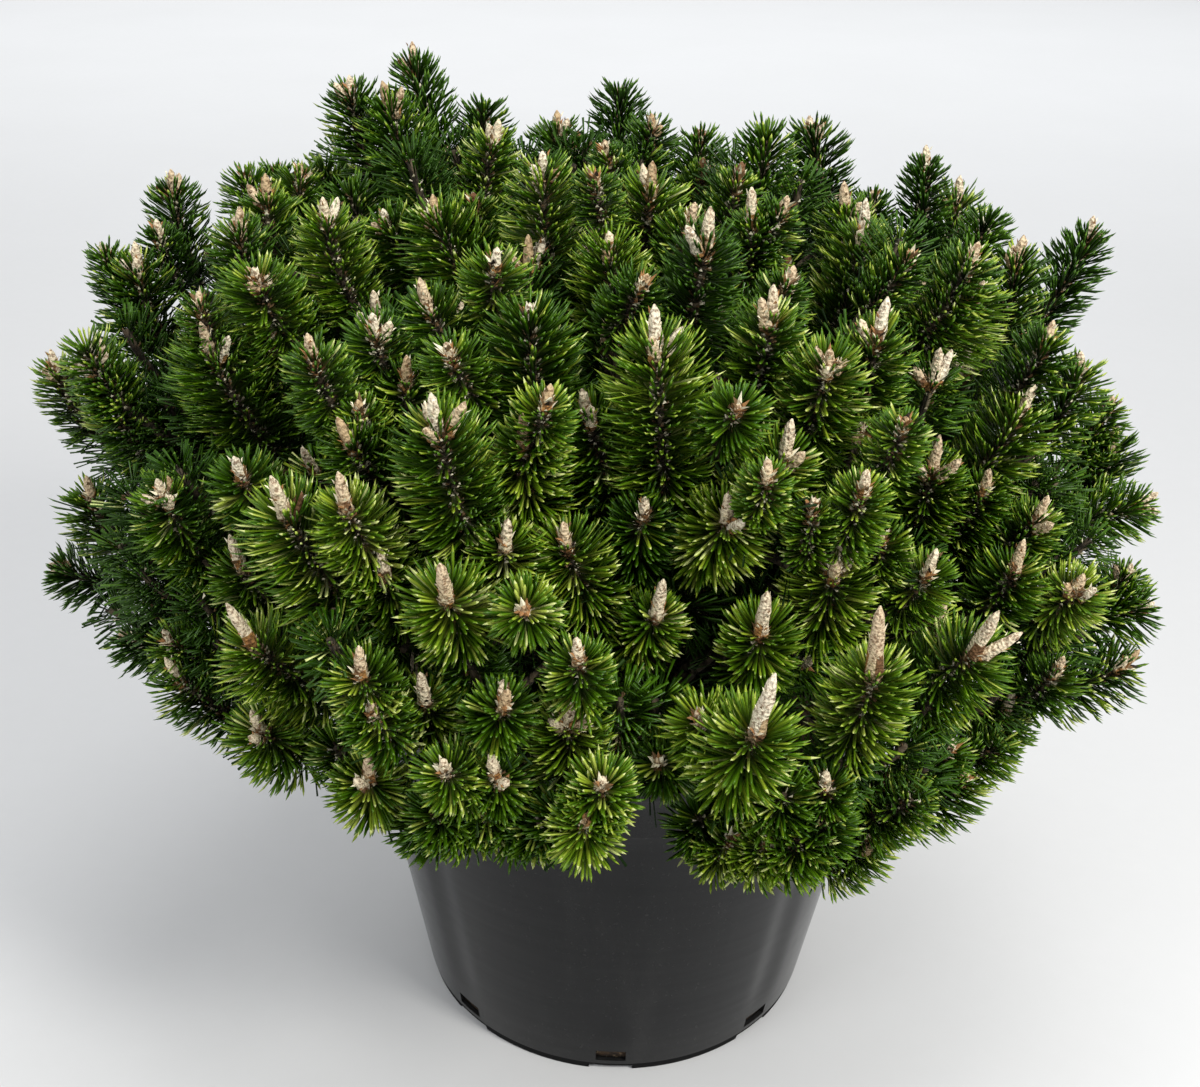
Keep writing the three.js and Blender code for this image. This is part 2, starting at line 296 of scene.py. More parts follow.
@dataclass(frozen=True)
class Bark:
    """Grey-brown scaly bark, darker in its cracks."""

    name: str
    cracks: Colour = (0.022, 0.014, 0.009)
    plates: Colour = (0.12, 0.082, 0.056)
    dry: Colour = (0.23, 0.185, 0.14)
    roughness: float = 0.92
    plate_cells: float = 150.0
    plate_stretch: Triple = (1.0, 1.0, 0.55)
    crack_width: float = 0.16
    depth: float = 0.0012

    def material(self) -> bpy.types.Material:
        """Makes the material."""
        nodes = Nodes(self.name)
        cells = {"Vector": nodes.stretched(self.plate_stretch), "Scale": self.plate_cells}
        plate = nodes.add("ShaderNodeTexVoronoi", {"feature": "DISTANCE_TO_EDGE"}, cells)
        open_plate = nodes.between(plate, 0.0, self.crack_width)
        fine = nodes.noise(520.0, 4.0)
        patch = nodes.noise(60.0, 3.0)
        worn = nodes.mix(nodes.between(patch, 0.42, 0.7), self.plates, self.dry)
        colour = nodes.mix(open_plate * (0.55 + 0.45 * fine), self.cracks, worn)
        normal = nodes.bump(open_plate * 0.7 + fine * 0.5, self.depth)
        return nodes.finish(Base_Color=colour, Roughness=self.roughness, Normal=normal)


@dataclass(frozen=True)
class Compost:
    """Dark fibrous compost with brown fibres and paler crumbs."""

    wet: Colour = (0.018, 0.011, 0.007)
    fibre: Colour = (0.115, 0.066, 0.032)
    crumb: Colour = (0.33, 0.24, 0.14)
    roughness: float = 0.96
    lump_cells: float = 140.0
    thread_cells: Triple = (180.0, 180.0, 620.0)
    crumb_cells: float = 330.0
    depth: float = 0.004

    def material(self) -> bpy.types.Material:
        """Makes the material."""
        nodes = Nodes("compost")
        lump = nodes.noise(self.lump_cells, 5.0, 0.7)
        thread = nodes.noise(1.0, 4.0, 0.6, nodes.stretched(self.thread_cells))
        crumb = nodes.between(nodes.noise(self.crumb_cells, 2.0), 0.62, 0.68)
        brown = nodes.mix(nodes.between(thread, 0.40, 0.66), self.wet, self.fibre)
        colour = nodes.mix(crumb * 0.8, brown, self.crumb)
        normal = nodes.bump(lump * 0.7 + thread * 0.4, self.depth)
        return nodes.finish(Base_Color=colour, Roughness=self.roughness, Normal=normal)


@dataclass(frozen=True)
class StudioFloor:
    """Pale painted board with a faint unevenness."""

    colour: Colour = (0.77, 0.77, 0.77)
    shade: Colour = (0.71, 0.71, 0.705)
    roughness: float = 0.55
    cloud_cells: float = 2.4
    fine_cells: float = 60.0
    depth: float = 0.0004

    def material(self) -> bpy.types.Material:
        """Makes the material."""
        nodes = Nodes("studio_floor")
        cloud, fine = nodes.noise(self.cloud_cells, 4.0), nodes.noise(self.fine_cells, 3.0)
        colour = nodes.mix(cloud * 0.7 + fine * 0.3, self.shade, self.colour)
        normal = nodes.bump(fine, self.depth, 0.3)
        return nodes.finish(Base_Color=colour, Roughness=self.roughness, Normal=normal)


@dataclass(frozen=True)
class Scaly:
    """Papery bud scales: one colour flecked with the scales' darker edges."""

    name: str
    colour: Colour
    fleck: Colour = (0.17, 0.082, 0.040)
    roughness: float = 0.95
    shine: float = 0.2
    cells: float = 560.0
    depth: float = 0.0012

    def material(self) -> bpy.types.Material:
        """Makes the material."""
        nodes = Nodes(self.name)
        flecks = nodes.between(nodes.noise(self.cells, 3.0, 0.6), 0.47, 0.62)
        cells = {"Vector": nodes.where, "Scale": self.cells}
        scales = nodes.add("ShaderNodeTexVoronoi", {"feature": "F1"}, cells)
        colour = nodes.mix(flecks * 0.8, self.colour, self.fleck)
        surface = {"Roughness": self.roughness, "Specular_IOR_Level": self.shine}
        return nodes.finish(Base_Color=colour, Normal=nodes.bump(scales, self.depth), **surface)


class Palette(Enum):
    """Plain colours of the foliage, each group dealt out by spray."""

    # near-black greens of the old inner needles: their own duller colour darkened as painted shade of the
    # inside
    INNER = (
        Plain("needle_inner_1", (0.010, 0.028, 0.003), 0.50, 0.12),
        Plain("needle_inner_2", (0.015, 0.040, 0.003), 0.50, 0.12),
        Plain("needle_inner_3", (0.008, 0.024, 0.003), 0.50, 0.12),
    )
    # dark greens used only as painted shade: on needle undersides and on shoots painted in deep shade
    LOWER = (
        Plain("needle_lower_1", (0.012, 0.038, 0.001), 0.48, 0.12),
        Plain("needle_lower_2", (0.018, 0.054, 0.001), 0.45, 0.16),
        Plain("needle_lower_3", (0.026, 0.074, 0.001), 0.42, 0.22),
    )
    # greens from dark to pale, dealt by chance and by each shoot's painted light and shade
    BODY = (
        Plain("needle_body_1", (0.034, 0.098, 0.002)),
        Plain("needle_body_2", (0.048, 0.127, 0.002)),
        Plain("needle_body_3", (0.067, 0.158, 0.003)),
        Plain("needle_body_4", (0.096, 0.200, 0.005)),
        Plain("needle_body_5", (0.138, 0.250, 0.009)),
        Plain("needle_body_6", (0.195, 0.310, 0.016)),
    )
    # pale yellow-greens of needle ends and of whole pale needles: the tips' own yellowish colour, made paler
    # as painted light
    TIP = (
        Plain("needle_tip_1", (0.290, 0.395, 0.026)),
        Plain("needle_tip_2", (0.430, 0.520, 0.080)),
        Plain("needle_tip_3", (0.620, 0.680, 0.240)),
    )
    BUD = (
        Scaly("bud_cream", (0.86, 0.73, 0.52)),
        Scaly("bud_pale", (0.89, 0.79, 0.60)),
        Scaly("bud_tan", (0.58, 0.42, 0.24)),
        Scaly("bud_brown", (0.20, 0.105, 0.050)),
        Scaly("bud_rust", (0.40, 0.20, 0.065)),
        Scaly("bud_buff", (0.74, 0.58, 0.38)),
    )
    CHIP = (
        Plain("chip_dark", (0.030, 0.019, 0.012), 0.9, 0.3),
        Plain("chip_brown", (0.17, 0.102, 0.046), 0.9, 0.3),
        Plain("chip_grey", (0.50, 0.45, 0.31), 0.9, 0.3),
        Plain("chip_cream", (0.88, 0.81, 0.60), 0.9, 0.3),
        Plain("chip_rust", (0.36, 0.18, 0.07), 0.9, 0.3),
    )

    def materials(self) -> Materials:
        """The group's materials, made once and shared by the pieces."""
        return [bpy.data.materials.get(plain.name) or plain.material() for plain in self.value]


# ---- Shapes ----


def unit(vectors: Array) -> Array:
    """Vectors scaled to length 1 along the last axis."""
    return vectors / np.maximum(np.linalg.norm(vectors, axis=-1, keepdims=True), 1e-12)


def smooth(value: Array, low: float, high: float) -> Array:
    """The curve 3s^2 - 2s^3 of a value's place s between low and high."""
    share = np.clip((value - low) / (high - low), 0.0, 1.0)
    return share * share * (3.0 - 2.0 * share)


def bezier(control: Array, share: Array) -> tuple[Array, Array]:
    """Points and unit tangents on cubic curves, as weights of the four control points.

    Args:
        control: (N, 4, 3) control points.
        share: (N, M) places along each curve, 0 to 1.

    Returns:
        (N, M, 3) points and (N, M, 3) tangents.
    """
    s = share[..., None]
    p0, p1, p2, p3 = (control[:, None, k, :] for k in range(4))
    rest = 1.0 - s
    points = rest**3 * p0 + 3 * rest**2 * s * p1 + 3 * rest * s**2 * p2 + s**3 * p3
    slopes = rest**2 * (p1 - p0) + 2 * rest * s * (p2 - p1) + s**2 * (p3 - p2)
    return points, unit(slopes)


def across(tangents: Array) -> tuple[Array, Array]:
    """Two unit vectors square to each tangent, from the world axis that the curve's mean is least along.

    Args:
        tangents: (N, M, 3) unit tangents.

    Returns:
        (u, v), each (N, M, 3), with u x v along the tangent.
    """
    mean = np.abs(tangents.mean(axis=1))
    reference = np.eye(3)[np.argmin(mean, axis=1)][:, None, :]
    first = unit(np.cross(tangents, np.broadcast_to(reference, tangents.shape)))
    return first, np.cross(tangents, first)


def ripple(points: Array, waves: float, seed: int, count: int = 9, finest: float = 2.6,
           peak: float = 1.6) -> Array:
    """Uneven relief from about -1 to 1: a mean of sines along seeded directions.

    Args:
        points: (..., 3) places in metres.
        waves: waves per metre of the longest sine.
        seed: chooses the directions and phases.
        count: how many sines.
        finest: waves of the shortest sine, in those of the longest.
        peak: the height that becomes 1, in typical heights of the mean.

    Returns:
        The relief at each point.
    """
    rng = np.random.default_rng(seed)
    directions = unit(rng.normal(size=(count, 3))) * waves * 2 * math.pi
    directions *= rng.uniform(1.0, finest, (count, 1))
    phases = rng.uniform(0.0, 2 * math.pi, count)
    return np.sin(points @ directions.T + phases).mean(axis=-1) * math.sqrt(count) / peak


def spiral(level: Array) -> Array:
    """Unit vectors a golden turn apart: (r cos a, r sin a, z) with r^2 + z^2 = 1.

    Args:
        level: (N,) heights z, from -1 to 1.

    Returns:
        (N, 3) unit vectors.
    """
    turn = np.arange(len(level)) * GOLDEN_TURN
    ring = np.sqrt(1.0 - level**2)
    return np.stack([ring * np.cos(turn), ring * np.sin(turn), level], -1)


def spokes(tangent: Array, mean: Array, turn: Array) -> Array:
    """Unit vectors square to tangents: cos a u + sin a v.

    Args:
        tangent: (K, 3) unit tangents.
        mean: (K, 3) directions; u is square to the world axis that each is least along.
        turn: (K,) turns a about the tangent.

    Returns:
        (K, 3) spokes.
    """
    first = unit(np.cross(tangent, np.eye(3)[np.argmin(np.abs(mean), axis=1)]))
    return np.cos(turn)[:, None] * first + np.sin(turn)[:, None] * np.cross(tangent, first)


def packed_mesh(name: str) -> tuple[Array, Array]:
    """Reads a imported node's mesh.

    Args:
        name: the node.

    Returns:
        (V, 3) corners and (T, 3) corner numbers of its triangles.
    """
    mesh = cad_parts[name].data
    mesh.calc_loop_triangles()
    corners = np.empty(len(mesh.vertices) * 3, np.float32)
    mesh.vertices.foreach_get("co", corners)
    triangles = np.empty(len(mesh.loop_triangles) * 3, np.int32)
    mesh.loop_triangles.foreach_get("vertices", triangles)
    return corners.reshape(-1, 3), triangles.reshape(-1, 3)


@dataclass
class Gatherer:
    """Joins many parts into one mesh: points, faces and each face's finish number."""

    name: str
    points: list[Array] = field(default_factory=list)
    faces: list[Array] = field(default_factory=list)
    finishes: list[Array] = field(default_factory=list)
    count: int = 0

    def add(self, points: Array, faces: Array, finishes: Array | int = 0) -> None:
        """Adds copies of one shape.

        Args:
            points: (N, V, 3) corners of each copy.
            faces: (F, k) corner numbers within a copy.
            finishes: a number for all faces, or (N, F) numbers.
        """
        copies, corners = points.shape[:2]
        self.points.append(points.reshape(-1, 3))
        self.count += copies * corners
        self.add_faces(faces, copies, corners, finishes)

    def add_faces(self, faces: Array, copies: int, corners: int, finishes: Array | int = 0) -> None:
        """Adds faces to the copies that were added last.

        Args:
            faces: (F, k) corner numbers within a copy.
            copies: how many copies there are.
            corners: how many corners a copy has.
            finishes: a number for all faces, or (N, F) numbers.
        """
        starts = self.count - copies * corners + corners * np.arange(copies)
        self.faces.append((faces[None] + starts[:, None, None]).reshape(-1, faces.shape[1]))
        self.finishes.append(np.broadcast_to(finishes, (copies, len(faces))).reshape(-1))

    def add_shell(self, points: Array, sides: int, finishes: Array | int = 0) -> None:
        """Adds copies of a closed tube: its quads with their finishes, then the triangles at its poles.

        Args:
            points: (N, rings * sides + 2, 3) corners of each copy.
            sides: corners of a ring.
            finishes: a number for all quads, or (N, quads) numbers.
        """
        copies, corners = points.shape[:2]
        quads, triangles = ring_faces((corners - 2) // sides, sides)
        self.add(points, quads, finishes)
        self.add_faces(triangles, copies, corners)

    def triangles(self) -> int:
        """How many triangles the joined mesh has."""
        return sum(len(faces) * (faces.shape[1] - 2) for faces in self.faces)

    def mesh(self, materials: Materials, rounded: bool) -> bpy.types.Mesh:
        """Writes the arrays into a mesh.

        Args:
            materials: one for each finish number.
            rounded: whether the faces are shaded smooth.

        Returns:
            The mesh.
        """
        made = bpy.data.meshes.new(self.name)
        points = np.concatenate(self.points).astype(np.float32)
        loops = np.concatenate([faces.reshape(-1) for faces in self.faces]).astype(np.int32)
        totals = np.concatenate([np.full(len(faces), faces.shape[1], np.int32) for faces in self.faces])
        made.vertices.add(len(points))
        made.vertices.foreach_set("co", points.ravel())
        made.loops.add(len(loops))
        made.loops.foreach_set("vertex_index", loops)
        made.polygons.add(len(totals))
        made.polygons.foreach_set("loop_start", np.cumsum(totals) - totals)
        made.polygons.foreach_set("loop_total", totals)
        for material in materials:
            made.materials.append(material)
        made.polygons.foreach_set("material_index", np.concatenate(self.finishes).astype(np.int32))
        made.polygons.foreach_set("use_smooth", np.full(len(totals), rounded))
        made.update(calc_edges=True)
        made.validate()
        return made

    def piece(self, materials: Materials, slot: str, rounded: bool = False) -> Piece:
        """Makes the joined piece, riding on the one body.

        Args:
            materials: one for each finish number.
            slot: the record's material slot; not used.
            rounded: whether the faces are shaded smooth.

        Returns:
            The object.
        """
        made = linked(self.name, self.mesh(materials, rounded))
        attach(made, "root")
        log.info("%s: %d triangles", self.name, self.triangles())
        return made


def ring_faces(rings: int, sides: int) -> tuple[Array, Array]:
    """Faces of a tube of rings closed by a pole at each end.

    Corner (ring r, side s) has number r * sides + s; the first pole comes after the rings, then the last.

    Args:
        rings: how many rings.
        sides: corners of a ring.

    Returns:
        (quads, triangles) as corner numbers, facing out.
    """
    ring, side = np.meshgrid(np.arange(rings - 1), np.arange(sides), indexing="ij")
    here, there, after = ring * sides, (ring + 1) * sides, (side + 1) % sides
    quads = np.stack([here + side, here + after, there + after, there + side], -1).reshape(-1, 4)
    turn = np.arange(sides)
    nxt = (turn + 1) % sides
    top, first_pole = (rings - 1) * sides, rings * sides
    foot = np.stack([np.full(sides, first_pole), nxt, turn], -1)
    head = np.stack([np.full(sides, first_pole + 1), top + turn, top + nxt], -1)
    return quads, np.concatenate([foot, head])


def tube_points(path: Array, tangents: Array, radii: Array, sides: int) -> Array:
    """Corners of tubes: each ring is its path point plus radius times (cos a u + sin a v).

    Args:
        path: (N, R, 3) middle lines.
        tangents: (N, R, 3) unit tangents.
        radii: (N, R) or (N, R, sides) radii.
        sides: corners of a ring.

    Returns:
        (N, R * sides + 2, 3) corners, with the two poles last.
    """
    first, second = across(tangents)
    turn = np.arange(sides) * 2 * math.pi / sides
    spoke = np.cos(turn)[:, None] * first[:, :, None, :] + np.sin(turn)[:, None] * second[:, :, None, :]
    width = radii if radii.ndim == 3 else radii[..., None]
    rings = path[:, :, None, :] + width[..., None] * spoke
    poles = path[:, [0, -1], :]
    return np.concatenate([rings.reshape(len(path), -1, 3), poles], axis=1)


# ---- Camera ----


@dataclass(frozen=True)
class Sight:
    """The camera, and the way from a place in its 1200 x 1087 picture to a line of sight."""

    place: Triple = (-0.0178, -0.8541, 0.793)
    pitch: float = 28.57
    roll: float = 1.38
    focal: float = 1500.0
    middle: Span = (600.0, 543.5)
    sensor: float = 36.0
    picture_width: float = 1200.0
    clip: Span = (0.01, 50.0)

    def axes(self) -> tuple[Array, Array, Array]:
        """The camera's own axes in the part's frame.

        Returns:
            The picture's right, its up and the way the camera looks, as unit vectors.
        """
        down, roll = math.radians(self.pitch), math.radians(self.roll)
        ahead = np.array([0.0, math.cos(down), -math.sin(down)])
        level, rise = np.array([1.0, 0.0, 0.0]), np.array([0.0, math.sin(down), math.cos(down)])
        right = math.cos(roll) * level + math.sin(roll) * rise
        return right, math.cos(roll) * rise - math.sin(roll) * level, ahead

    def rays(self, px: Array, py: Array) -> Array:
        """Lines of sight: ahead + (px - middle) / focal * right + (middle - py) / focal * up.

        Args:
            px: (N,) places across the picture.
            py: (N,) places down the picture.

        Returns:
            (N, 3) unit vectors.
        """
        right, up, ahead = self.axes()
        aside = (px[:, None] - self.middle[0]) / self.focal
        above = (self.middle[1] - py[:, None]) / self.focal
        return unit(ahead + aside * right + above * up)

    def headings(self, lean: Array, facing: Array) -> Array:
        """Headings of things seen in the picture.

        Args:
            lean: (N,) degrees clockwise from upright in the picture.
            facing: (N,) degrees out of the picture.

        Returns:
            (N, 3) unit vectors.
        """
        right, up, ahead = self.axes()
        turn, out = np.radians(lean)[:, None], np.radians(facing)[:, None]
        return np.cos(out) * (np.sin(turn) * right + np.cos(turn) * up) - np.sin(out) * ahead

    def build(self) -> None:
        """Makes the camera and hands it to the scene."""
        data = bpy.data.cameras.new("camera")
        data.sensor_width = self.sensor
        data.lens = self.focal * self.sensor / self.picture_width
        data.clip_start, data.clip_end = self.clip
        camera = linked("camera", data)
        right, up, ahead = (Vector(axis) for axis in self.axes())
        turned = Matrix((right, up, -ahead)).transposed().to_4x4()
        camera.matrix_world = Matrix.Translation(self.place) @ turned
        bpy.context.scene.camera = camera
        log.info("camera at %s", self.place)


# Leading shoots by region, one row each: where the shoot's tip is across and down the picture, its lean from
# upright (degrees, clockwise), its facing (degrees out of the picture), its needled length and the spread of
# its needles (mm), how many buds it has, the longest one's length (mm), and its painted light: 1 for paler
# needles painted as lit, or -1 for darker needles painted in shade. Zeros at a row's end are left out.
ACROSS, DOWN, LEAN, FACING, LENGTH, SPREAD, BUDS, LONGEST, PAINTED_LIGHT = range(9)
ShootTable = dict[str, tuple[tuple[int, ...], ...]]
LEADING_SHOOTS: ShootTable = {
    "top_edge": (
        (414, 70, -13, 12, 100, 24, 2, 18, -1), (390, 113, -14, 25, 110, 30, 2, 20),
        (351, 97, -8, 28, 80, 24, 2, 14), (494, 146, 20, 25, 70, 22, 2, 17, 1),
        (484, 112, 5, 12, 55, 22, 0, 0, -1), (557, 136, 0, 28, 60, 24, 2, 17, -1),
        (543, 177, 1, 28, 100, 26, 3, 15, 1), (620, 97, 2, 8, 70, 24, 1, 6, -1),
        (607, 156, -20, 30, 45, 16, 1, 11), (652, 130, 5, 35, 50, 20, 2, 12, -1),
        (700, 142, 0, 15, 55, 22, 1, 10, -1), (702, 176, 15, 30, 50, 18, 1, 13),
        (650, 197, 3, 38, 70, 28, 2, 21, 1), (765, 139, 0, 10, 60, 24, 0, 0, -1),
        (738, 184, 12, 22, 55, 20, 2, 14), (752, 226, 0, 30, 55, 20, 1, 22),
        (781, 215, 25, 30, 45, 18, 1, 13), (812, 136, -14, 12, 80, 25, 3, 14, -1),
        (845, 214, -10, 25, 70, 24, 3, 20, 1), (863, 240, 5, 30, 95, 26, 2, 24, 1),
        (872, 204, 5, 15, 50, 20, 1, 10, -1), (925, 168, -3, 12, 85, 19, 1, 15, -1),
        (956, 206, 0, 25, 80, 27, 3, 20), (986, 222, 12, 15, 55, 20, 0, 0, -1),
        (1017, 262, 2, 18, 70, 23, 3, 17), (1088, 240, 24, 8, 105, 23, 2, 16, -1),
    ),
    "upper_left": (
        (436, 223, -24, 30, 85, 30, 2, 17, 1), (474, 209, 0, 35, 40, 18, 1, 11),
        (494, 270, 5, 42, 50, 22, 1, 14), (595, 183, -10, 38, 35, 16, 1, 7),
        (610, 253, -4, 32, 100, 27, 2, 13, 1), (387, 227, -30, 32, 60, 24, 2, 12),
        (326, 225, -6, 34, 75, 24, 2, 17, 1), (276, 178, 0, 14, 60, 22, 1, 10, -1),
        (300, 180, 8, 18, 60, 22, 2, 12), (267, 203, 4, 28, 60, 22, 2, 18), (240, 236, 4, 35, 60, 23, 2, 18),
        (159, 236, -6, 30, 45, 18, 1, 12, -1), (173, 193, -4, 15, 75, 22, 3, 16, -1),
        (138, 273, -6, 28, 100, 27, 3, 20), (107, 256, -12, 20, 70, 19, 1, 9, -1),
        (246, 182, -8, 20, 55, 22, 1, 8), (258, 284, -8, 55, 70, 26, 4, 12),
        (201, 308, -5, 35, 45, 18, 1, 11), (270, 340, 8, 38, 50, 24, 1, 19),
        (212, 357, -16, 40, 95, 33, 3, 22), (106, 376, -5, 36, 70, 24, 2, 24),
        (57, 372, -14, 32, 60, 20, 2, 16), (314, 362, -10, 45, 60, 21, 1, 17),
        (375, 336, -5, 38, 55, 22, 2, 14), (429, 312, -25, 30, 60, 24, 1, 20),
    ),
    "upper_right": (
        (786, 289, 22, 35, 45, 18, 1, 14), (771, 322, 3, 38, 70, 23, 2, 20),
        (688, 228, 12, 32, 60, 22, 1, 16), (706, 249, 8, 32, 80, 25, 2, 22, -1),
        (641, 290, 30, 40, 45, 20, 1, 11), (907, 263, 30, 28, 45, 18, 1, 9),
        (970, 264, 20, 32, 60, 22, 1, 14), (974, 300, 36, 34, 110, 31, 2, 13, 1),
        (876, 343, 6, 38, 90, 26, 2, 25, 1), (1044, 348, 20, 28, 55, 24, 1, 17),
        (1078, 376, 15, 22, 60, 24, 1, 15), (1108, 410, 25, 25, 50, 20, 1, 11),
        (1019, 417, 24, 30, 85, 28, 1, 22, 1), (828, 369, 8, 42, 80, 28, 4, 13, 1),
        (903, 428, 10, 40, 40, 18, 1, 8), (737, 411, 20, 60, 35, 20, 1, 5, -1),
    ),
    "middle_left": (
        (450, 357, -20, 45, 45, 20, 1, 10), (407, 386, 3, 35, 65, 24, 2, 18),
        (438, 432, -8, 36, 105, 30, 4, 22, 1), (352, 447, -28, 42, 60, 24, 1, 19),
        (361, 415, 0, 38, 40, 18, 1, 10), (243, 479, -8, 55, 55, 24, 1, 18),
        (135, 443, -12, 42, 55, 21, 1, 16), (92, 500, -12, 36, 60, 25, 1, 18),
        (164, 500, -12, 45, 75, 26, 4, 15), (287, 518, -22, 40, 105, 34, 2, 27, 1),
        (347, 511, -14, 48, 75, 24, 1, 24, 1), (242, 568, -24, 42, 60, 24, 1, 19),
        (64, 572, -70, 15, 75, 24, 2, 10, -1), (386, 579, -8, 50, 60, 24, 1, 18),
        (447, 601, -10, 62, 75, 28, 1, 25, 1), (505, 548, 8, 52, 65, 24, 1, 19, 1),
        (566, 546, -16, 42, 70, 27, 2, 16, 1), (524, 449, 2, 48, 65, 26, 1, 21, 1),
        (545, 408, 18, 40, 45, 20, 1, 14, 1), (589, 419, -18, 38, 65, 26, 2, 18),
        (529, 323, -3, 28, 90, 30, 1, 12, -1), (656, 353, -6, 32, 125, 32, 3, 25, 1),
        (643, 517, 8, 50, 50, 22, 1, 14, -1),
    ),
    "middle_right": (
        (784, 461, 28, 45, 65, 26, 2, 25, 1), (767, 480, 4, 50, 35, 16, 1, 14),
        (727, 521, 15, 68, 75, 28, 2, 22, 1), (862, 494, 8, 45, 55, 20, 1, 16),
        (812, 512, -4, 40, 40, 16, 1, 10), (834, 573, 0, 48, 85, 29, 4, 22, 1),
        (881, 540, 0, 45, 40, 20, 1, 8), (932, 473, 2, 45, 85, 26, 3, 24, 1),
        (983, 493, 16, 45, 50, 22, 1, 17), (1035, 523, 30, 42, 75, 24, 2, 20, 1),
        (1112, 447, 10, 22, 70, 26, 3, 16), (1094, 440, 0, 25, 45, 20, 1, 9),
        (1138, 506, 70, 12, 95, 24, 2, 15), (1013, 573, 14, 45, 60, 24, 1, 20),
        (926, 577, 26, 45, 50, 22, 1, 16), (1075, 592, 20, 58, 70, 25, 3, 13, 1),
        (1124, 578, 30, 25, 55, 22, 2, 10), (1138, 609, 75, 15, 65, 26, 2, 10),
        (656, 617, 28, 55, 65, 22, 1, 22, 1), (760, 634, 0, 50, 60, 25, 1, 26, 1),
        (873, 676, 3, 42, 95, 27, 1, 38, 1), (971, 656, 38, 48, 95, 31, 2, 30, 1),
        (1054, 674, 25, 40, 48, 22, 1, 13), (1121, 668, 60, 20, 85, 25, 2, 14),
    ),
    "lower_left": (
        (131, 640, -70, 20, 60, 22, 1, 8, -1), (173, 644, -45, 35, 50, 22, 1, 10),
        (256, 648, -38, 45, 90, 31, 1, 27, 1), (182, 682, -42, 32, 75, 25, 1, 16, -1),
        (262, 731, -28, 55, 70, 27, 2, 15), (361, 677, -12, 52, 60, 24, 1, 18),
        (374, 716, -20, 50, 50, 22, 1, 9), (370, 780, 8, 60, 65, 26, 2, 18, 1),
        (525, 611, 0, 78, 50, 20, 1, 6), (578, 662, -3, 45, 50, 20, 1, 14),
        (425, 703, 3, 58, 60, 22, 1, 22, 1), (503, 708, 22, 60, 60, 21, 2, 14),
        (568, 724, -2, 45, 80, 26, 4, 15, 1), (446, 773, -24, 58, 55, 21, 1, 12),
        (496, 777, 2, 60, 55, 20, 2, 17), (602, 788, 8, 60, 50, 22, 1, 8), (486, 812, -5, 62, 50, 20, 2, 7),
        (436, 812, -20, 55, 55, 22), (585, 825, 0, 60, 50, 22, 1, 6, 1), (540, 822, 5, 55, 50, 20),
    ),
    "lower_right": (
        (659, 763, -35, 65, 45, 20, 1, 6, -1), (754, 736, 12, 52, 85, 30, 1, 34, 1),
        (700, 722, -35, 40, 55, 24, 1, 8, 1), (730, 784, 0, 50, 60, 23, 0, 0, -1),
        (826, 787, -8, 45, 40, 18, 1, 11), (872, 792, 58, 38, 70, 24, 1, 17, -1),
        (864, 844, 35, 42, 65, 24, 2, 17, 1), (729, 842, 15, 55, 55, 22, 1, 6, 1),
        (767, 844, 15, 55, 55, 22, 1, 7, 1), (946, 753, 50, 38, 55, 24, 1, 9),
        (1004, 715, 6, 42, 65, 23, 1, 17), (960, 782, 45, 30, 70, 26, 1, 8), (994, 748, 55, 25, 60, 24),
    ),
    "fringe": (
        (414, 816, -25, 42, 50, 20), (462, 814, -8, 52, 50, 22), (513, 814, 5, 52, 50, 22),
        (562, 814, -5, 52, 50, 22), (596, 796, 10, 52, 50, 20), (700, 818, -10, 52, 50, 23),
        (800, 840, 12, 50, 50, 24), (826, 822, 20, 48, 50, 24), (784, 795, 8, 52, 50, 22),
    ),
    "upper_edge": (
        (324, 172, -14, 26, 62, 26), (352, 196, -8, 26, 60, 26), (86, 350, -20, 26, 50, 22),
    ),
    "lower_edge": (
        (884, 818, 45, 38, 55, 23), (912, 800, 48, 34, 55, 23), (336, 748, -30, 40, 50, 22),
    ),
}
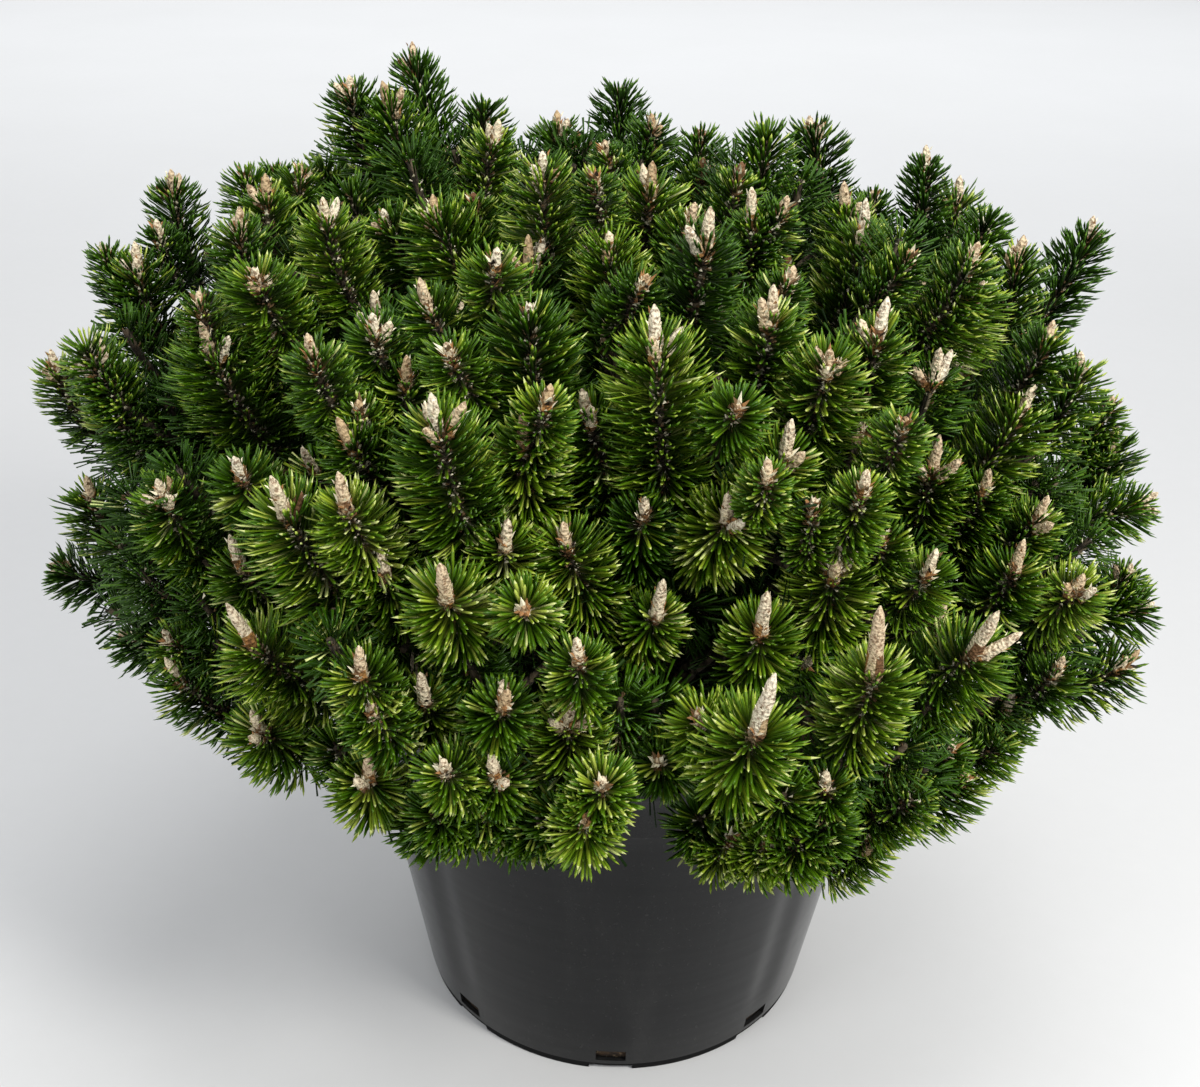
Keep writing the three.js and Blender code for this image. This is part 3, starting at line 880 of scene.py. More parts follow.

# Budless shoots that stand deeper between them, in the same columns, painted darker as shade.
DEEP_SHOOTS: ShootTable = {
    "right": (
        (1042, 640, 40, 40, 60, 26), (1000, 692, 30, 45, 60, 26), (1016, 706, 50, 35, 60, 24),
        (984, 722, 35, 42, 60, 24), (930, 702, 20, 45, 60, 25), (905, 745, 30, 45, 60, 24),
        (926, 770, 40, 40, 55, 24), (892, 788, 30, 45, 55, 23), (1082, 634, 50, 28, 60, 25),
        (840, 760, 0, 50, 55, 24), (800, 772, 5, 50, 50, 23), (1050, 560, 25, 40, 60, 25),
        (1030, 668, 40, 40, 60, 26), (1060, 640, 45, 35, 60, 26), (1058, 478, 30, 35, 60, 25),
        (1090, 540, 40, 30, 60, 25), (1000, 620, 30, 45, 60, 25), (1036, 482, 25, 35, 60, 27),
        (1020, 466, 20, 35, 60, 27), (1052, 508, 30, 35, 60, 27), (1000, 520, 20, 42, 60, 27),
    ),
    "top": (
        (455, 150, -5, 30, 55, 24), (525, 160, 0, 32, 55, 24), (585, 145, 0, 30, 55, 24),
        (640, 160, 0, 32, 55, 24), (735, 165, 5, 32, 55, 24), (800, 180, 5, 32, 55, 24),
        (340, 150, -10, 30, 60, 25), (410, 160, -10, 32, 60, 25), (900, 240, 8, 32, 55, 24),
    ),
    "middle": (
        (620, 700, 0, 50, 55, 24), (655, 700, 0, 50, 55, 24), (470, 660, -5, 50, 55, 24),
        (330, 640, -15, 48, 55, 24), (300, 700, -20, 45, 55, 24), (700, 590, 5, 52, 55, 24),
        (470, 480, 0, 42, 60, 25), (575, 480, 5, 42, 60, 25),
    ),
    "left": (
        (150, 560, -30, 40, 60, 24), (110, 610, -55, 25, 60, 24), (200, 600, -25, 45, 55, 24),
        (100, 430, -30, 35, 60, 25), (120, 545, -40, 35, 60, 25), (170, 430, -20, 40, 60, 25),
        (150, 610, -40, 32, 60, 25), (125, 330, -20, 32, 60, 25), (152, 418, -20, 32, 60, 26),
        (165, 398, -10, 32, 60, 26), (128, 492, -30, 30, 60, 26), (215, 642, -30, 40, 60, 25),
        (140, 572, -35, 35, 60, 26), (122, 392, -25, 30, 60, 26), (155, 516, -25, 35, 60, 26),
        (205, 560, -25, 40, 55, 25), (178, 470, -20, 40, 55, 25), (304, 716, -25, 45, 50, 22),
        (254, 728, -35, 40, 50, 22), (195, 385, -10, 36, 60, 26),
    ),
}


# ---- Crown ----


@dataclass
class Shoots:
    """Needled shoots, one row each."""

    tips: Array
    headings: Array
    lengths: Array
    spreads: Array
    buds: Array
    bud_lengths: Array
    light: Array
    masses: Array
    flattened: ClassVar[float] = 0.30
    lowered: ClassVar[float] = 0.10

    def axes(self, outward: Array) -> Array:
        """Control points of each shoot's axis, which bends up from a flatter start.

        Args:
            outward: (N, 3) level unit vectors away from the stem.

        Returns:
            (N, 4, 3) control points from the shoot's foot to its tip.
        """
        start = unit(self.headings + self.flattened * outward - self.lowered * UP)
        third = self.lengths[:, None] / 3.0
        last = self.tips - third * self.headings
        middle = last - third * unit(self.headings + start)
        return np.stack([middle - third * start, middle, last, self.tips], axis=1)

    def joined(self, other: "Shoots") -> "Shoots":
        """These shoots followed by others."""
        pairs = ((getattr(self, part.name), getattr(other, part.name)) for part in fields(self))
        return Shoots(*(np.concatenate(pair) for pair in pairs))


@dataclass
class Crown:
    """The crown's outer form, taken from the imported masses, and the shoots that stand on it."""

    hub: Triple = (-0.017, 0.0, 0.380)
    reach: Triple = (0.322, 0.312, 0.20)
    sink: float = 0.016
    deep_sink: float = 0.042
    deep_shade: float = 1.4
    passing_span: Span = (0.6, 1.4)
    passing_steps: int = 81
    lower_row: float = 560.0
    shortened: Span = (0.80, 0.62)
    bud_stretch: Span = (1.02, 1.22)
    candidates: int = 5200
    spacing: float = 0.040
    berth: float = 0.046
    lowest: float = 0.282
    underside: float = -0.2
    clear_of_stem: float = 0.205
    filling_sinks: Span = (0.016, 0.030)
    extra_sinks: Span = (0.005, 0.012)
    waist: float = 0.36
    heading_jitter: float = 0.16
    outward_share: float = 0.60
    upward_share: float = 0.62
    low_upward_loss: float = 0.25
    low_from: float = 0.34
    low_span: float = 0.1
    filling_lengths: Span = (0.045, 0.080)
    least_spread: float = 0.021
    spread_per_length: float = 0.09
    spread_jitter: float = 0.006
    bud_counts: tuple[int, ...] = (1, 1, 1, 2, 2, 3)
    filling_buds: Span = (0.009, 0.023)
    # painted light of the filling shoots: from as lit as a plain leading shoot down to painted shade
    filling_light: Span = (-1.4, 0.0)
    lining_count: int = 170
    lining_band: float = 1.35
    lining_depth: Span = (0.68, 0.89)
    lining_jitter: float = 0.35
    lining_lengths: Span = (0.05, 0.08)
    lining_spread: float = 0.030
    # painted shade of the lining shoots, deeper than that of any other shoot
    lining_light: float = -3.0
    seed: int = 7
    names: list[str] = field(default_factory=list)

    def __post_init__(self) -> None:
        """Joins the masses into one surface that can be met by rays."""
        self.names = sorted(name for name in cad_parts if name.startswith("mass_"))
        points, triangles, owners, count = [], [], [], 0
        for number, name in enumerate(self.names):
            corners, faces = packed_mesh(name)
            points.append(corners)
            triangles.append(faces + count)
            owners.append(np.full(len(faces), number))
            count += len(corners)
        self.owners = np.concatenate(owners)
        corners, faces = (np.concatenate(rows).tolist() for rows in (points, triangles))
        self.surface = BVHTree.FromPolygons(corners, faces, all_triangles=True)

    def outward(self, points: Array) -> Array:
        """Level unit vectors away from the hub."""
        return unit((points - np.array(self.hub)) * np.array([1.0, 1.0, 0.0]))

    def facing(self, points: Array) -> Array:
        """The crown's outward normals: the gradient of its ellipsoid."""
        return unit((points - np.array(self.hub)) / np.array(self.reach) ** 2)

    def met(self, way: Array) -> tuple[Vector | None, int | None]:
        """Where a ray that comes in from outside along -way first meets the masses, and the face it meets."""
        place, _, face, _ = self.surface.ray_cast(Vector(np.array(self.hub) + way), Vector(-way))
        return place, face

    def seen(self, sight: Sight, table: ShootTable, sink: float, shade: float) -> Shoots:
        """Shoots of a table, each where its line of sight meets the crown, or passes nearest to it.

        Args:
            sight: the camera.
            table: the shoots by region.
            sink: how far past the crown's surface the tips stand.
            shade: how much darker the table's shoots are.

        Returns:
            The shoots.
        """
        rows = np.array([(*row, 0, 0, 0)[:PAINTED_LIGHT + 1] for region in table.values() for row in region], float)
        start = Vector(sight.place)
        tips, masses = [], []
        for ray in sight.rays(rows[:, ACROSS], rows[:, DOWN]):
            way = Vector(ray)
            met, _, face, distance = self.surface.ray_cast(start, way)
            if met is None:
                steps = [start + way * reach for reach in np.linspace(*self.passing_span, self.passing_steps)]
                place = min(steps, key=lambda point: self.surface.find_nearest(point)[3])
                face = self.surface.find_nearest(place)[2]
            else:
                place = start + way * (distance + sink)
            tips.append(place)
            masses.append(self.owners[face])
        low = (rows[:, DOWN] > self.lower_row).astype(int)
        lengths, spreads, bud_lengths = (rows[:, column] * MM for column in (LENGTH, SPREAD, LONGEST))
        lengths = lengths * np.array(self.shortened)[low]
        bud_lengths = bud_lengths * np.array(self.bud_stretch)[low]
        headings, buds = sight.headings(rows[:, LEAN], rows[:, FACING]), rows[:, BUDS].astype(int)
        light = rows[:, PAINTED_LIGHT] - shade
        return Shoots(np.array(tips), headings, lengths, spreads, buds, bud_lengths, light, np.array(masses))

    def filling(self, taken: Array) -> Shoots:
        """Shoots over the rest of the crown, each with its own room.

        Candidates are the outermost places along evenly spread rays to the hub, tried in a seeded order. One
        is kept where no placed shoot is within the berth and no other shoot within the spacing.

        Args:
            taken: (N, 3) tips of the shoots that are already placed.

        Returns:
            The shoots.
        """
        rng = np.random.default_rng(self.seed)
        ways = spiral(1.0 - (2 * np.arange(self.candidates) + 1) / self.candidates)
        chosen, room, masses = list(taken), [self.berth] * len(taken), []
        for way in ways[rng.permutation(self.candidates)]:
            met, face = self.met(way)
            if met is None or met.z < self.lowest:
                continue
            place = np.array(met)
            if way[2] < self.underside and np.hypot(place[0], place[1]) < self.clear_of_stem:
                continue
            deeper = self.extra_sinks[int(place[2] > self.waist)]
            place -= self.facing(place[None])[0] * (rng.uniform(*self.filling_sinks) + deeper)
            if np.all(np.linalg.norm(np.array(chosen) - place, axis=1) > room):
                chosen.append(place)
                room.append(self.spacing)
                masses.append(self.owners[face])
        tips = np.array(chosen[len(taken):])
        count = len(tips)
        jitter = rng.normal(scale=self.heading_jitter, size=tips.shape)
        loss = self.low_upward_loss * smooth(self.low_from - tips[:, 2], 0.0, self.low_span)[:, None]
        headings = unit(self.outward_share * self.facing(tips) + (self.upward_share - loss) * UP + jitter)
        lengths = rng.uniform(*self.filling_lengths, count)
        spreads = self.least_spread + self.spread_per_length * (lengths - self.filling_lengths[0])
        spreads += rng.uniform(0.0, self.spread_jitter, count)
        buds = rng.choice(self.bud_counts, count)
        bud_lengths, light = rng.uniform(*self.filling_buds, count), rng.uniform(*self.filling_light, count)
        return Shoots(tips, headings, lengths, spreads, buds, bud_lengths, light, np.array(masses))

    def lining(self) -> Shoots:
        """Budless shoots deep inside, painted dark as shade, which close the crown to the eye.

        They stand at evenly spread directions from the hub, at a share of the way out to the masses, or to
        the crown's ellipsoid between them.

        Returns:
            The shoots.
        """
        rng = np.random.default_rng(self.seed + 1)
        hub = np.array(self.hub)
        tips, masses = [], []
        for way in spiral(1.0 - self.lining_band * (np.arange(self.lining_count) + 0.5) / self.lining_count):
            met, face = self.met(way)
            if met is None:
                met = hub + way / np.linalg.norm(way / np.array(self.reach))
                face = self.surface.find_nearest(Vector(met))[2]
            tips.append(hub + (np.array(met) - hub) * rng.uniform(*self.lining_depth))
            masses.append(self.owners[face])
        tips = np.array(tips)
        headings = unit(self.facing(tips) + rng.normal(scale=self.lining_jitter, size=tips.shape))
        lengths = rng.uniform(*self.lining_lengths, len(tips))
        none = np.zeros(len(tips))
        spreads, light = none + self.lining_spread, none + self.lining_light
        return Shoots(tips, headings, lengths, spreads, none.astype(int), none, light, np.array(masses))


# ---- Limbs ----


@dataclass(frozen=True)
class Bough:
    """A bough's middle line and radii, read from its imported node."""

    name: str
    path: Array
    radii: Array

    @property
    def end(self) -> Array:
        """Where the bough meets its mass."""
        return self.path[-1]

    @property
    def heading(self) -> Array:
        """The way the bough points where it ends."""
        return unit(self.path[-1] - self.path[-4])


@dataclass
class Limbs:
    """The stem and its boughs in one skin of scaly bark."""

    stem_sides: int = 40
    stem_rings: int = 56
    stem_radius: float = 0.024
    stem_taper: float = 0.005
    stem_drop: float = 0.004
    stem_stretch: float = 0.002
    flare: float = 0.013
    flare_share: float = 0.32
    round_from: float = 0.94
    stem_waves: float = 30.0
    bough_sides: int = 14
    bough_rings: int = 30
    bough_radii: Span = (0.0045, 0.0105)
    bough_waves: float = 60.0
    stem_reach: float = 0.020
    root_drop: float = 0.05
    relief: float = 0.10
    relief_seeds: tuple[int, int] = (3, 5)
    plate_waves: float = 3.0
    plate_squash: Triple = (1.0, 1.0, 0.5)

    def bough(self, name: str) -> Bough:
        """Reads a bough: a cubic through its corners by their place along it, and their distance from that.

        Args:
            name: the node.

        Returns:
            The bough.
        """
        corners = np.unique(np.round(packed_mesh(name)[0].astype(float), 6), axis=0)
        middle = corners.mean(axis=0)
        main = np.linalg.svd(corners - middle)[2][0]
        main *= np.sign(main @ (middle - np.array([0.0, 0.0, middle[2] - self.root_drop])))
        along = (corners - middle) @ main
        cubic = np.polyfit(along, corners, 3)
        place = np.linspace(along.min() - self.stem_reach, along.max(), self.bough_rings)
        s = place[:, None]
        path = s**3 * cubic[0] + s**2 * cubic[1] + s * cubic[2] + cubic[3]
        away = np.linalg.norm(corners - along[:, None] ** np.arange(3, -1, -1) @ cubic, axis=1)
        slope, foot = np.polyfit(along, away, 1)
        return Bough(name, path, np.clip(foot + slope * place, *self.bough_radii))

    def build(self, boughs: list[Bough]) -> Piece:
        """Makes the bark of the stem and the boughs.

        Args:
            boughs: the boughs in the masses' order.

        Returns:
            The piece.
        """
        skin = Gatherer("stem_and_boughs")
        low, high = (np.array(corner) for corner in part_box("stem"))
        share = np.linspace(0.0, 1.0, self.stem_rings)
        lean = (low[0] + high[0]) / 2 * share**2
        height = low[2] - self.stem_drop + (high[2] - low[2] + self.stem_stretch) * share
        path = np.stack([lean, np.zeros_like(share), height], -1)[None]
        flare = self.flare * np.clip(1 - share / self.flare_share, 0, 1) ** 2
        rounding = 1.0 - 0.5 * smooth(share, self.round_from, 1.0)
        radii = (self.stem_radius - self.stem_taper * share + flare) * rounding
        self.dress(skin, path, radii[None], self.stem_sides, self.stem_waves)
        paths, widths = (np.stack(rows) for rows in zip(*((bough.path, bough.radii) for bough in boughs)))
        self.dress(skin, paths, widths, self.bough_sides, self.bough_waves)
        made = skin.piece([Bark("bark").material()], "bark", rounded=True)
        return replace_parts(made, "stem", *(bough.name for bough in boughs))

    def dress(self, skin: Gatherer, path: Array, radii: Array, sides: int, waves: float) -> None:
        """Adds tubes whose radius swells and cracks: r (1 + relief * (ripple + |finer ripple| - 1/2)).

        Args:
            skin: the piece.
            path: (N, R, 3) middle lines.
            radii: (N, R) radii.
            sides: corners of a ring.
            waves: waves of relief per metre.
        """
        slopes = unit(np.gradient(path, axis=1))
        rings = tube_points(path, slopes, radii, sides)[:, :-2].reshape(*path.shape[:2], sides, 3)
        broad, fine = self.relief_seeds
        swell = ripple(rings, waves, broad) * self.relief
        plates = ripple(rings * np.array(self.plate_squash), waves * self.plate_waves, fine)
        plates = np.abs(plates) * self.relief
        worked = radii[..., None] * (1.0 + swell + plates - self.relief / 2)
        skin.add_shell(tube_points(path, slopes, worked, sides), sides)


@dataclass
class Twigs:
    """Twigs that branch from each bough's end to its mass's shoots by a seeded rule."""

    shoots_per_fork: int = 4
    fork_share: float = 0.48
    sides: int = 4
    rings: int = 5
    shoot_sides: int = 5
    seed: int = 11
    widths: tuple[float, ...] = (0.0056, 0.0040, 0.0029, 0.0021)
    gathering_rounds: int = 8
    fork_scatter: float = 0.004
    fork_sag: float = 0.05
    bough_pull: float = 0.4
    twig_pull: float = 0.35
    wobble: float = 0.12

    def forks(self, feet: Array, start: Array, rng: Rng) -> Array:
        """Gathers shoots into forks by nearness: k-means from seeded starts.

        Args:
            feet: (K, 3) where the shoots start.
            start: where the bough ends.
            rng: the seeded stream.

        Returns:
            (K,) fork numbers.
        """
        count = max(1, round(len(feet) / self.shoots_per_fork))
        ways = unit(feet - start)
        centres = ways[rng.choice(len(feet), count, replace=False)]
        group = np.zeros(len(feet), int)
        for _ in range(self.gathering_rounds):
            group = np.argmax(ways @ centres.T, axis=1)
            sums = np.stack([ways[group == k].sum(axis=0) for k in range(count)])
            centres = np.where(np.linalg.norm(sums, axis=1, keepdims=True) > 0, unit(sums), centres)
        return group

    def branch(self, boughs: list[Bough], axes: Array, masses: Array) -> tuple[Array, Array]:
        """Works out the limbs of every mass.

        Args:
            boughs: the boughs in the masses' order.
            axes: (N, 4, 3) shoot axes.
            masses: (N,) mass numbers.

        Returns:
            (F, 4, 3) curves from bough ends to forks and (N, 4, 3) curves from forks to shoots.
        """
        rng = np.random.default_rng(self.seed)
        feet = axes[:, 0]
        starts = unit(axes[:, 1] - axes[:, 0])
        branches = []
        twigs = np.zeros_like(axes)
        for number, bough in enumerate(boughs):
            rows = np.flatnonzero(masses == number)
            if not len(rows):
                continue
            group = self.forks(feet[rows], bough.end, rng)
            for k in np.unique(group):
                members = rows[group == k]
                span = feet[members].mean(axis=0) - bough.end
                scatter = rng.normal(scale=self.fork_scatter, size=3)
                fork = bough.end + self.fork_share * span + scatter - self.fork_sag * span[2] * UP
                length = np.linalg.norm(fork - bough.end)
                way = unit(fork - bough.end)
                leaving = bough.end + self.bough_pull * length * bough.heading
                branches.append([bough.end, leaving, fork - self.twig_pull * length * way, fork])
                gap = np.linalg.norm(feet[members] - fork, axis=1)[:, None]
                twigs[members, 0] = fork
                twigs[members, 1] = fork + self.twig_pull * gap * way
                twigs[members, 2] = feet[members] - self.twig_pull * gap * starts[members]
                twigs[members, 3] = feet[members]
        return np.array(branches), twigs

    def build(self, branches: Array, twigs: Array, axes: Array) -> Piece:
        """Makes one piece of all the twigs, tapering from the bough's end to each shoot's tip.

        Args:
            branches: (F, 4, 3) curves to the forks.
            twigs: (N, 4, 3) curves to the shoots.
            axes: (N, 4, 3) shoot axes.

        Returns:
            The piece.
        """
        wood = Gatherer("twigs")
        ends = list(zip(self.widths[:-1], self.widths[1:]))
        sides = (self.shoot_sides, self.sides, self.shoot_sides)
        for control, (thick, thin), corners in zip((branches, twigs, axes), ends, sides):
            radii = np.broadcast_to(np.linspace(thick, thin, self.rings), (len(control), self.rings))
            wobble = 1.0 + self.wobble * np.random.default_rng(len(control)).uniform(-1, 1, radii.shape)
            path, tangents = bezier(control, np.broadcast_to(np.linspace(0.0, 1.0, self.rings), radii.shape))
            wood.add_shell(tube_points(path, tangents, radii * wobble, corners), corners)
        bark = Bark("twig_bark", (0.012, 0.008, 0.004), (0.070, 0.047, 0.025), (0.20, 0.16, 0.095))
        return wood.piece([bark.material()], "bark", rounded=True)


# ---- Foliage ----


@dataclass
class Sprays:
    """Places for things that stand in a spiral round shoots."""

    shoot: Array
    share: Array
    foot: Array
    tangent: Array
    spoke: Array
    aside: Array
    turn: Array

    @classmethod
    def along(cls, axes: Array, counts: Array, jitter: float, rng: Rng) -> "Sprays":
        """Deals places out evenly along each axis, a golden turn apart.

        Args:
            axes: (N, 4, 3) axes.
            counts: (N,) how many places each has.
            jitter: uneven turning, in radians.
            rng: the seeded stream.

        Returns:
            The places.
        """
        shoot = np.repeat(np.arange(len(axes)), counts)
        order = np.arange(len(shoot)) - np.repeat(np.cumsum(counts) - counts, counts)
        share = (order + rng.uniform(0.0, 1.0, len(order))) / counts[shoot]
        turn = order * GOLDEN_TURN + rng.normal(scale=jitter, size=len(order)) + shoot
        foot, tangent = bezier(axes[shoot], share[:, None])
        foot, tangent = foot[:, 0], tangent[:, 0]
        mean = unit(axes[:, 3] - axes[:, 0])[shoot]
        spoke = spokes(tangent, mean, turn)
        return cls(shoot, share, foot, tangent, spoke, np.cross(tangent, spoke), turn)


@dataclass
class Needles:
    """Paired slim three-sided needles in a spiral round each shoot, with points on the leading shoots."""

    leading_pairs: float = 32.0
    filling_pairs: float = 19.5
    lining_pairs: float = 8.5
    width: float = 0.00142
    foot_width: float = 0.75
    length_per_spread: float = 0.95
    foot_angle: float = 76.0
    body_angle: float = 67.0
    tip_angle: float = 46.0
    opening: float = 6.0
    tip_length: float = 0.70
    point_start: float = 0.87
    tip_shares: tuple[float, ...] = (0.50, 0.36, 0.14)
    end_shares: tuple[float, ...] = (0.15, 0.45, 0.40)
    body_from: float = 0.5
    tip_from: float = 0.76
    swing: float = 6.0
    angle_jitter: float = 8.0
    stray: float = 0.13
    opening_factors: Span = (0.3, 1.9)
    length_factors: Span = (0.84, 1.06)
    reach_factors: Span = (0.88, 1.08)
    bulge: float = 0.06
    roll: float = 0.6
    depth: float = 0.6
    curves: Span = (0.08, 0.27)
    width_factors: Span = (0.86, 1.16)
    pair_gap: float = 0.0004
    stand_off: float = 0.0014
    rooted: float = 0.04
    turn_jitter: float = 0.10
    tone: float = 2.0
    tone_per_light: float = 1.3
    tone_range: float = 1.2
    darkest: int = -2
    underside_steps: int = 3
    gold: float = 0.15
    gold_per_light: float = 0.12
    gold_range: float = 0.10
    most_triangles: int = 192000
    seed: int = 23
    groups: tuple[Palette, ...] = (Palette.LOWER, Palette.BODY, Palette.TIP)

    def shape(self, pointed: bool) -> Array:
        """Faces of a needle: base edge 0-1, ring 2-4 and far point 5, or base point 0 and far ring 1-3."""
        sides = [[0, 1, 3], [0, 3, 2], [1, 4, 3], [0, 2, 4], [0, 4, 1]]
        end = [[2, 3, 5], [3, 4, 5], [4, 2, 5]]
        return np.array(sides + end if pointed else [[0, 2, 1], [0, 3, 2], [0, 1, 3], [1, 2, 3]])

    def corners(self, sprays: Sprays, reach: Array, phases: Array, rng: Rng, pointed: bool) -> Array:
        """Works out both needles of every pair.

        A needle leaves the axis at an angle that closes towards the shoot's tip and curves gently inwards:
        p(s) = foot + L (s n + c s^2 t). Its section is a triangle of the width w and 0.6 w deep. A pointed
        needle starts as an edge nearly as wide and has that section where its point starts; any other one
        starts as a point and has the section at the far end.

        Args:
            sprays: where the pairs stand.
            reach: (K,) needle lengths.
            phases: (N,) the side to which each shoot's needles open most.
            rng: the seeded stream.
            pointed: whether the needles end in a point.

        Returns:
            (K * 2, 6, 3) corners, or (K * 2, 4, 3) of needles without a point.
        """
        share, count = sprays.share, len(sprays.share)
        lower = (self.body_angle - self.foot_angle) * smooth(share, 0.0, self.body_from)
        upper = (self.tip_angle - self.body_angle) * smooth(share, self.tip_from, 1.0)
        swing = self.swing * np.cos(sprays.turn - phases[sprays.shoot])
        jitter = rng.normal(scale=self.angle_jitter, size=count)
        angle = np.radians(self.foot_angle + lower + upper + swing + jitter)[:, None]
        stray = rng.normal(scale=self.stray, size=count)[:, None] * sprays.aside
        middle = np.cos(angle) * sprays.tangent + np.sin(angle) * sprays.spoke + stray
        spread = np.tan(np.radians(self.opening)) * rng.uniform(*self.opening_factors, count)
        opening = spread[:, None] * sprays.aside
        way = unit(np.stack([middle - opening, middle + opening], axis=1))
        tangent = np.repeat(sprays.tangent[:, None], 2, axis=1)
        long = (reach[:, None] * rng.uniform(*self.length_factors, (count, 2)))[..., None]
        flat = unit(np.cross(way, tangent))
        roll = rng.uniform(-self.roll, self.roll, (count, 2, 1))
        side = np.cos(roll) * flat + np.sin(roll) * np.cross(way, flat)
        back = np.cross(way, side)
        curve = np.repeat(rng.uniform(*self.curves, (count, 1, 1)), 2, axis=1) * long * tangent
        broad = self.width * rng.uniform(*self.width_factors, (count, 2, 1))
        apart = np.array([-1, 1])[:, None] * self.pair_gap * sprays.aside[:, None]
        start = (sprays.foot + self.stand_off * sprays.spoke)[:, None] + apart
        section = np.stack([-0.5 * broad * side, 0.5 * broad * side, self.depth * broad * back], axis=2)
        bend = (start + self.point_start * long * way + self.point_start**2 * curve)[:, :, None] + section
        far = (start + long * way + curve)[:, :, None]
        base = (start - self.rooted * long * way)[:, :, None]
        foot = base + self.foot_width * section[:, :, :2]
        rings = [foot, bend, far] if pointed else [base, far + section]
        return np.concatenate(rings, axis=2).reshape(2 * count, -1, 3)

    def tones(self, shoot: Array, light: Array, rng: Rng) -> Array:
        """Each pair's tones, dark to light: its spray's own by chance and painted light, with some neighbours
        mixed in.

        Args:
            shoot: (K,) shoot numbers.
            light: (N,) each shoot's painted light, about -1 to 1: below 0 painted shade, above 0 painted
                light.
            rng: the seeded stream.

        Returns:
            (K, 3) finish numbers for a needle's underside in painted shade, its lit side and its pale end,
            partly painted light.
        """
        lower, body, tip = (len(group.value) for group in self.groups)
        count = len(light)
        # painted light and shade: shoots painted lit get paler greens, shoots painted in shade darker ones
        spray = self.tone + self.tone_per_light * light
        spray += rng.uniform(-self.tone_range, self.tone_range, count)
        above = np.rint(spray[shoot] + rng.normal(scale=1.0, size=len(shoot)))
        above = np.clip(above, self.darkest, body - 1).astype(int)
        # painted light: shoots painted lit get more whole pale needles
        gold_share = self.gold + self.gold_per_light * light
        gold_share += rng.uniform(-self.gold_range, self.gold_range, count)
        gold = rng.uniform(size=len(shoot)) < np.clip(gold_share, 0.0, 1.0)[shoot]
        above = np.where(gold, body + rng.choice(tip, len(shoot), p=self.tip_shares), above)
        paler = rng.choice(len(self.end_shares), len(shoot), p=self.end_shares)
        pale = np.minimum(above + paler, body + tip - 1)
        # painted shade: the underside tone is a few steps darker than the lit side
        under = np.maximum(lower + above - self.underside_steps, 0)
        return np.stack([under, lower + above, lower + pale], axis=1)

    def build(self, crown: Crown, shoots: Shoots, axes: Array, leading: int) -> list[Piece]:
        """Makes the needles in joined pieces, each standing for whole masses.

        Args:
            crown: the crown.
            shoots: its shoots.
            axes: (N, 4, 3) shoot axes.
            leading: how many of the shoots lead; the others carry fewer needles, without points.

        Returns:
            The pieces.
        """
        rng = np.random.default_rng(self.seed)
        leads = np.arange(len(axes)) < leading
        pairs = np.where(shoots.light < LINING_LIGHT, self.lining_pairs, self.filling_pairs)
        pairs = np.where(leads, self.leading_pairs, pairs)
        counts = (shoots.lengths * CENTIMETRES * pairs).astype(int)
        phases = rng.uniform(0, 2 * math.pi, len(counts))
        sheaves = []
        for pointed, kept in ((True, leads), (False, ~leads)):
            sprays = Sprays.along(axes, np.where(kept, counts, 0), self.turn_jitter, rng)
            narrowed = (1.0 - self.tip_length) * smooth(sprays.share, self.tip_from, 1.0)
            swell = 1.0 - self.bulge + self.bulge * np.sin(math.pi * sprays.share) - narrowed
            reach = shoots.spreads[sprays.shoot] * self.length_per_spread * swell
            reach *= rng.uniform(*self.reach_factors, len(reach))
            points = self.corners(sprays, reach, phases, rng, pointed)
            under, lit, pale = np.repeat(self.tones(sprays.shoot, shoots.light, rng), 2, axis=0).T
            # underside faces take the painted shade tone, the end face the pale tone
            tones = [lit, lit, under, under, under, pale, lit, lit] if pointed else [lit, under, under, pale]
            owner = np.repeat(shoots.masses[sprays.shoot], 2)
            sheaves.append((points, self.shape(pointed), np.stack(tones, axis=1), owner))
        masses = len(crown.names)
        weight = sum(np.bincount(owner, minlength=masses) * len(faces) for _, faces, _, owner in sheaves)
        materials = [material for group in self.groups for material in group.materials()]
        pieces: list[Piece] = []
        for members in self.shares(weight):
            piece = Gatherer(f"needles_{len(pieces) + 1:02d}")
            for points, faces, tones, owner in sheaves:
                rows = np.isin(owner, members)
                piece.add(points[rows], faces, tones[rows])
            made = piece.piece(materials, "foliage", rounded=True)
            pieces.append(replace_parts(made, *(crown.names[k] for k in members)))
        return pieces

    def shares(self, weight: Array) -> list[list[int]]:
        """Deals the masses out to pieces in order, each piece within the triangle limit.

        Args:
            weight: triangles of each mass's needles.

        Returns:
            The mass numbers of each piece.
        """
        dealt: list[list[int]] = [[]]
        for number, triangles in enumerate(weight):
            if weight[dealt[-1]].sum() + triangles > self.most_triangles:
                dealt.append([])
            dealt[-1].append(number)
        return dealt


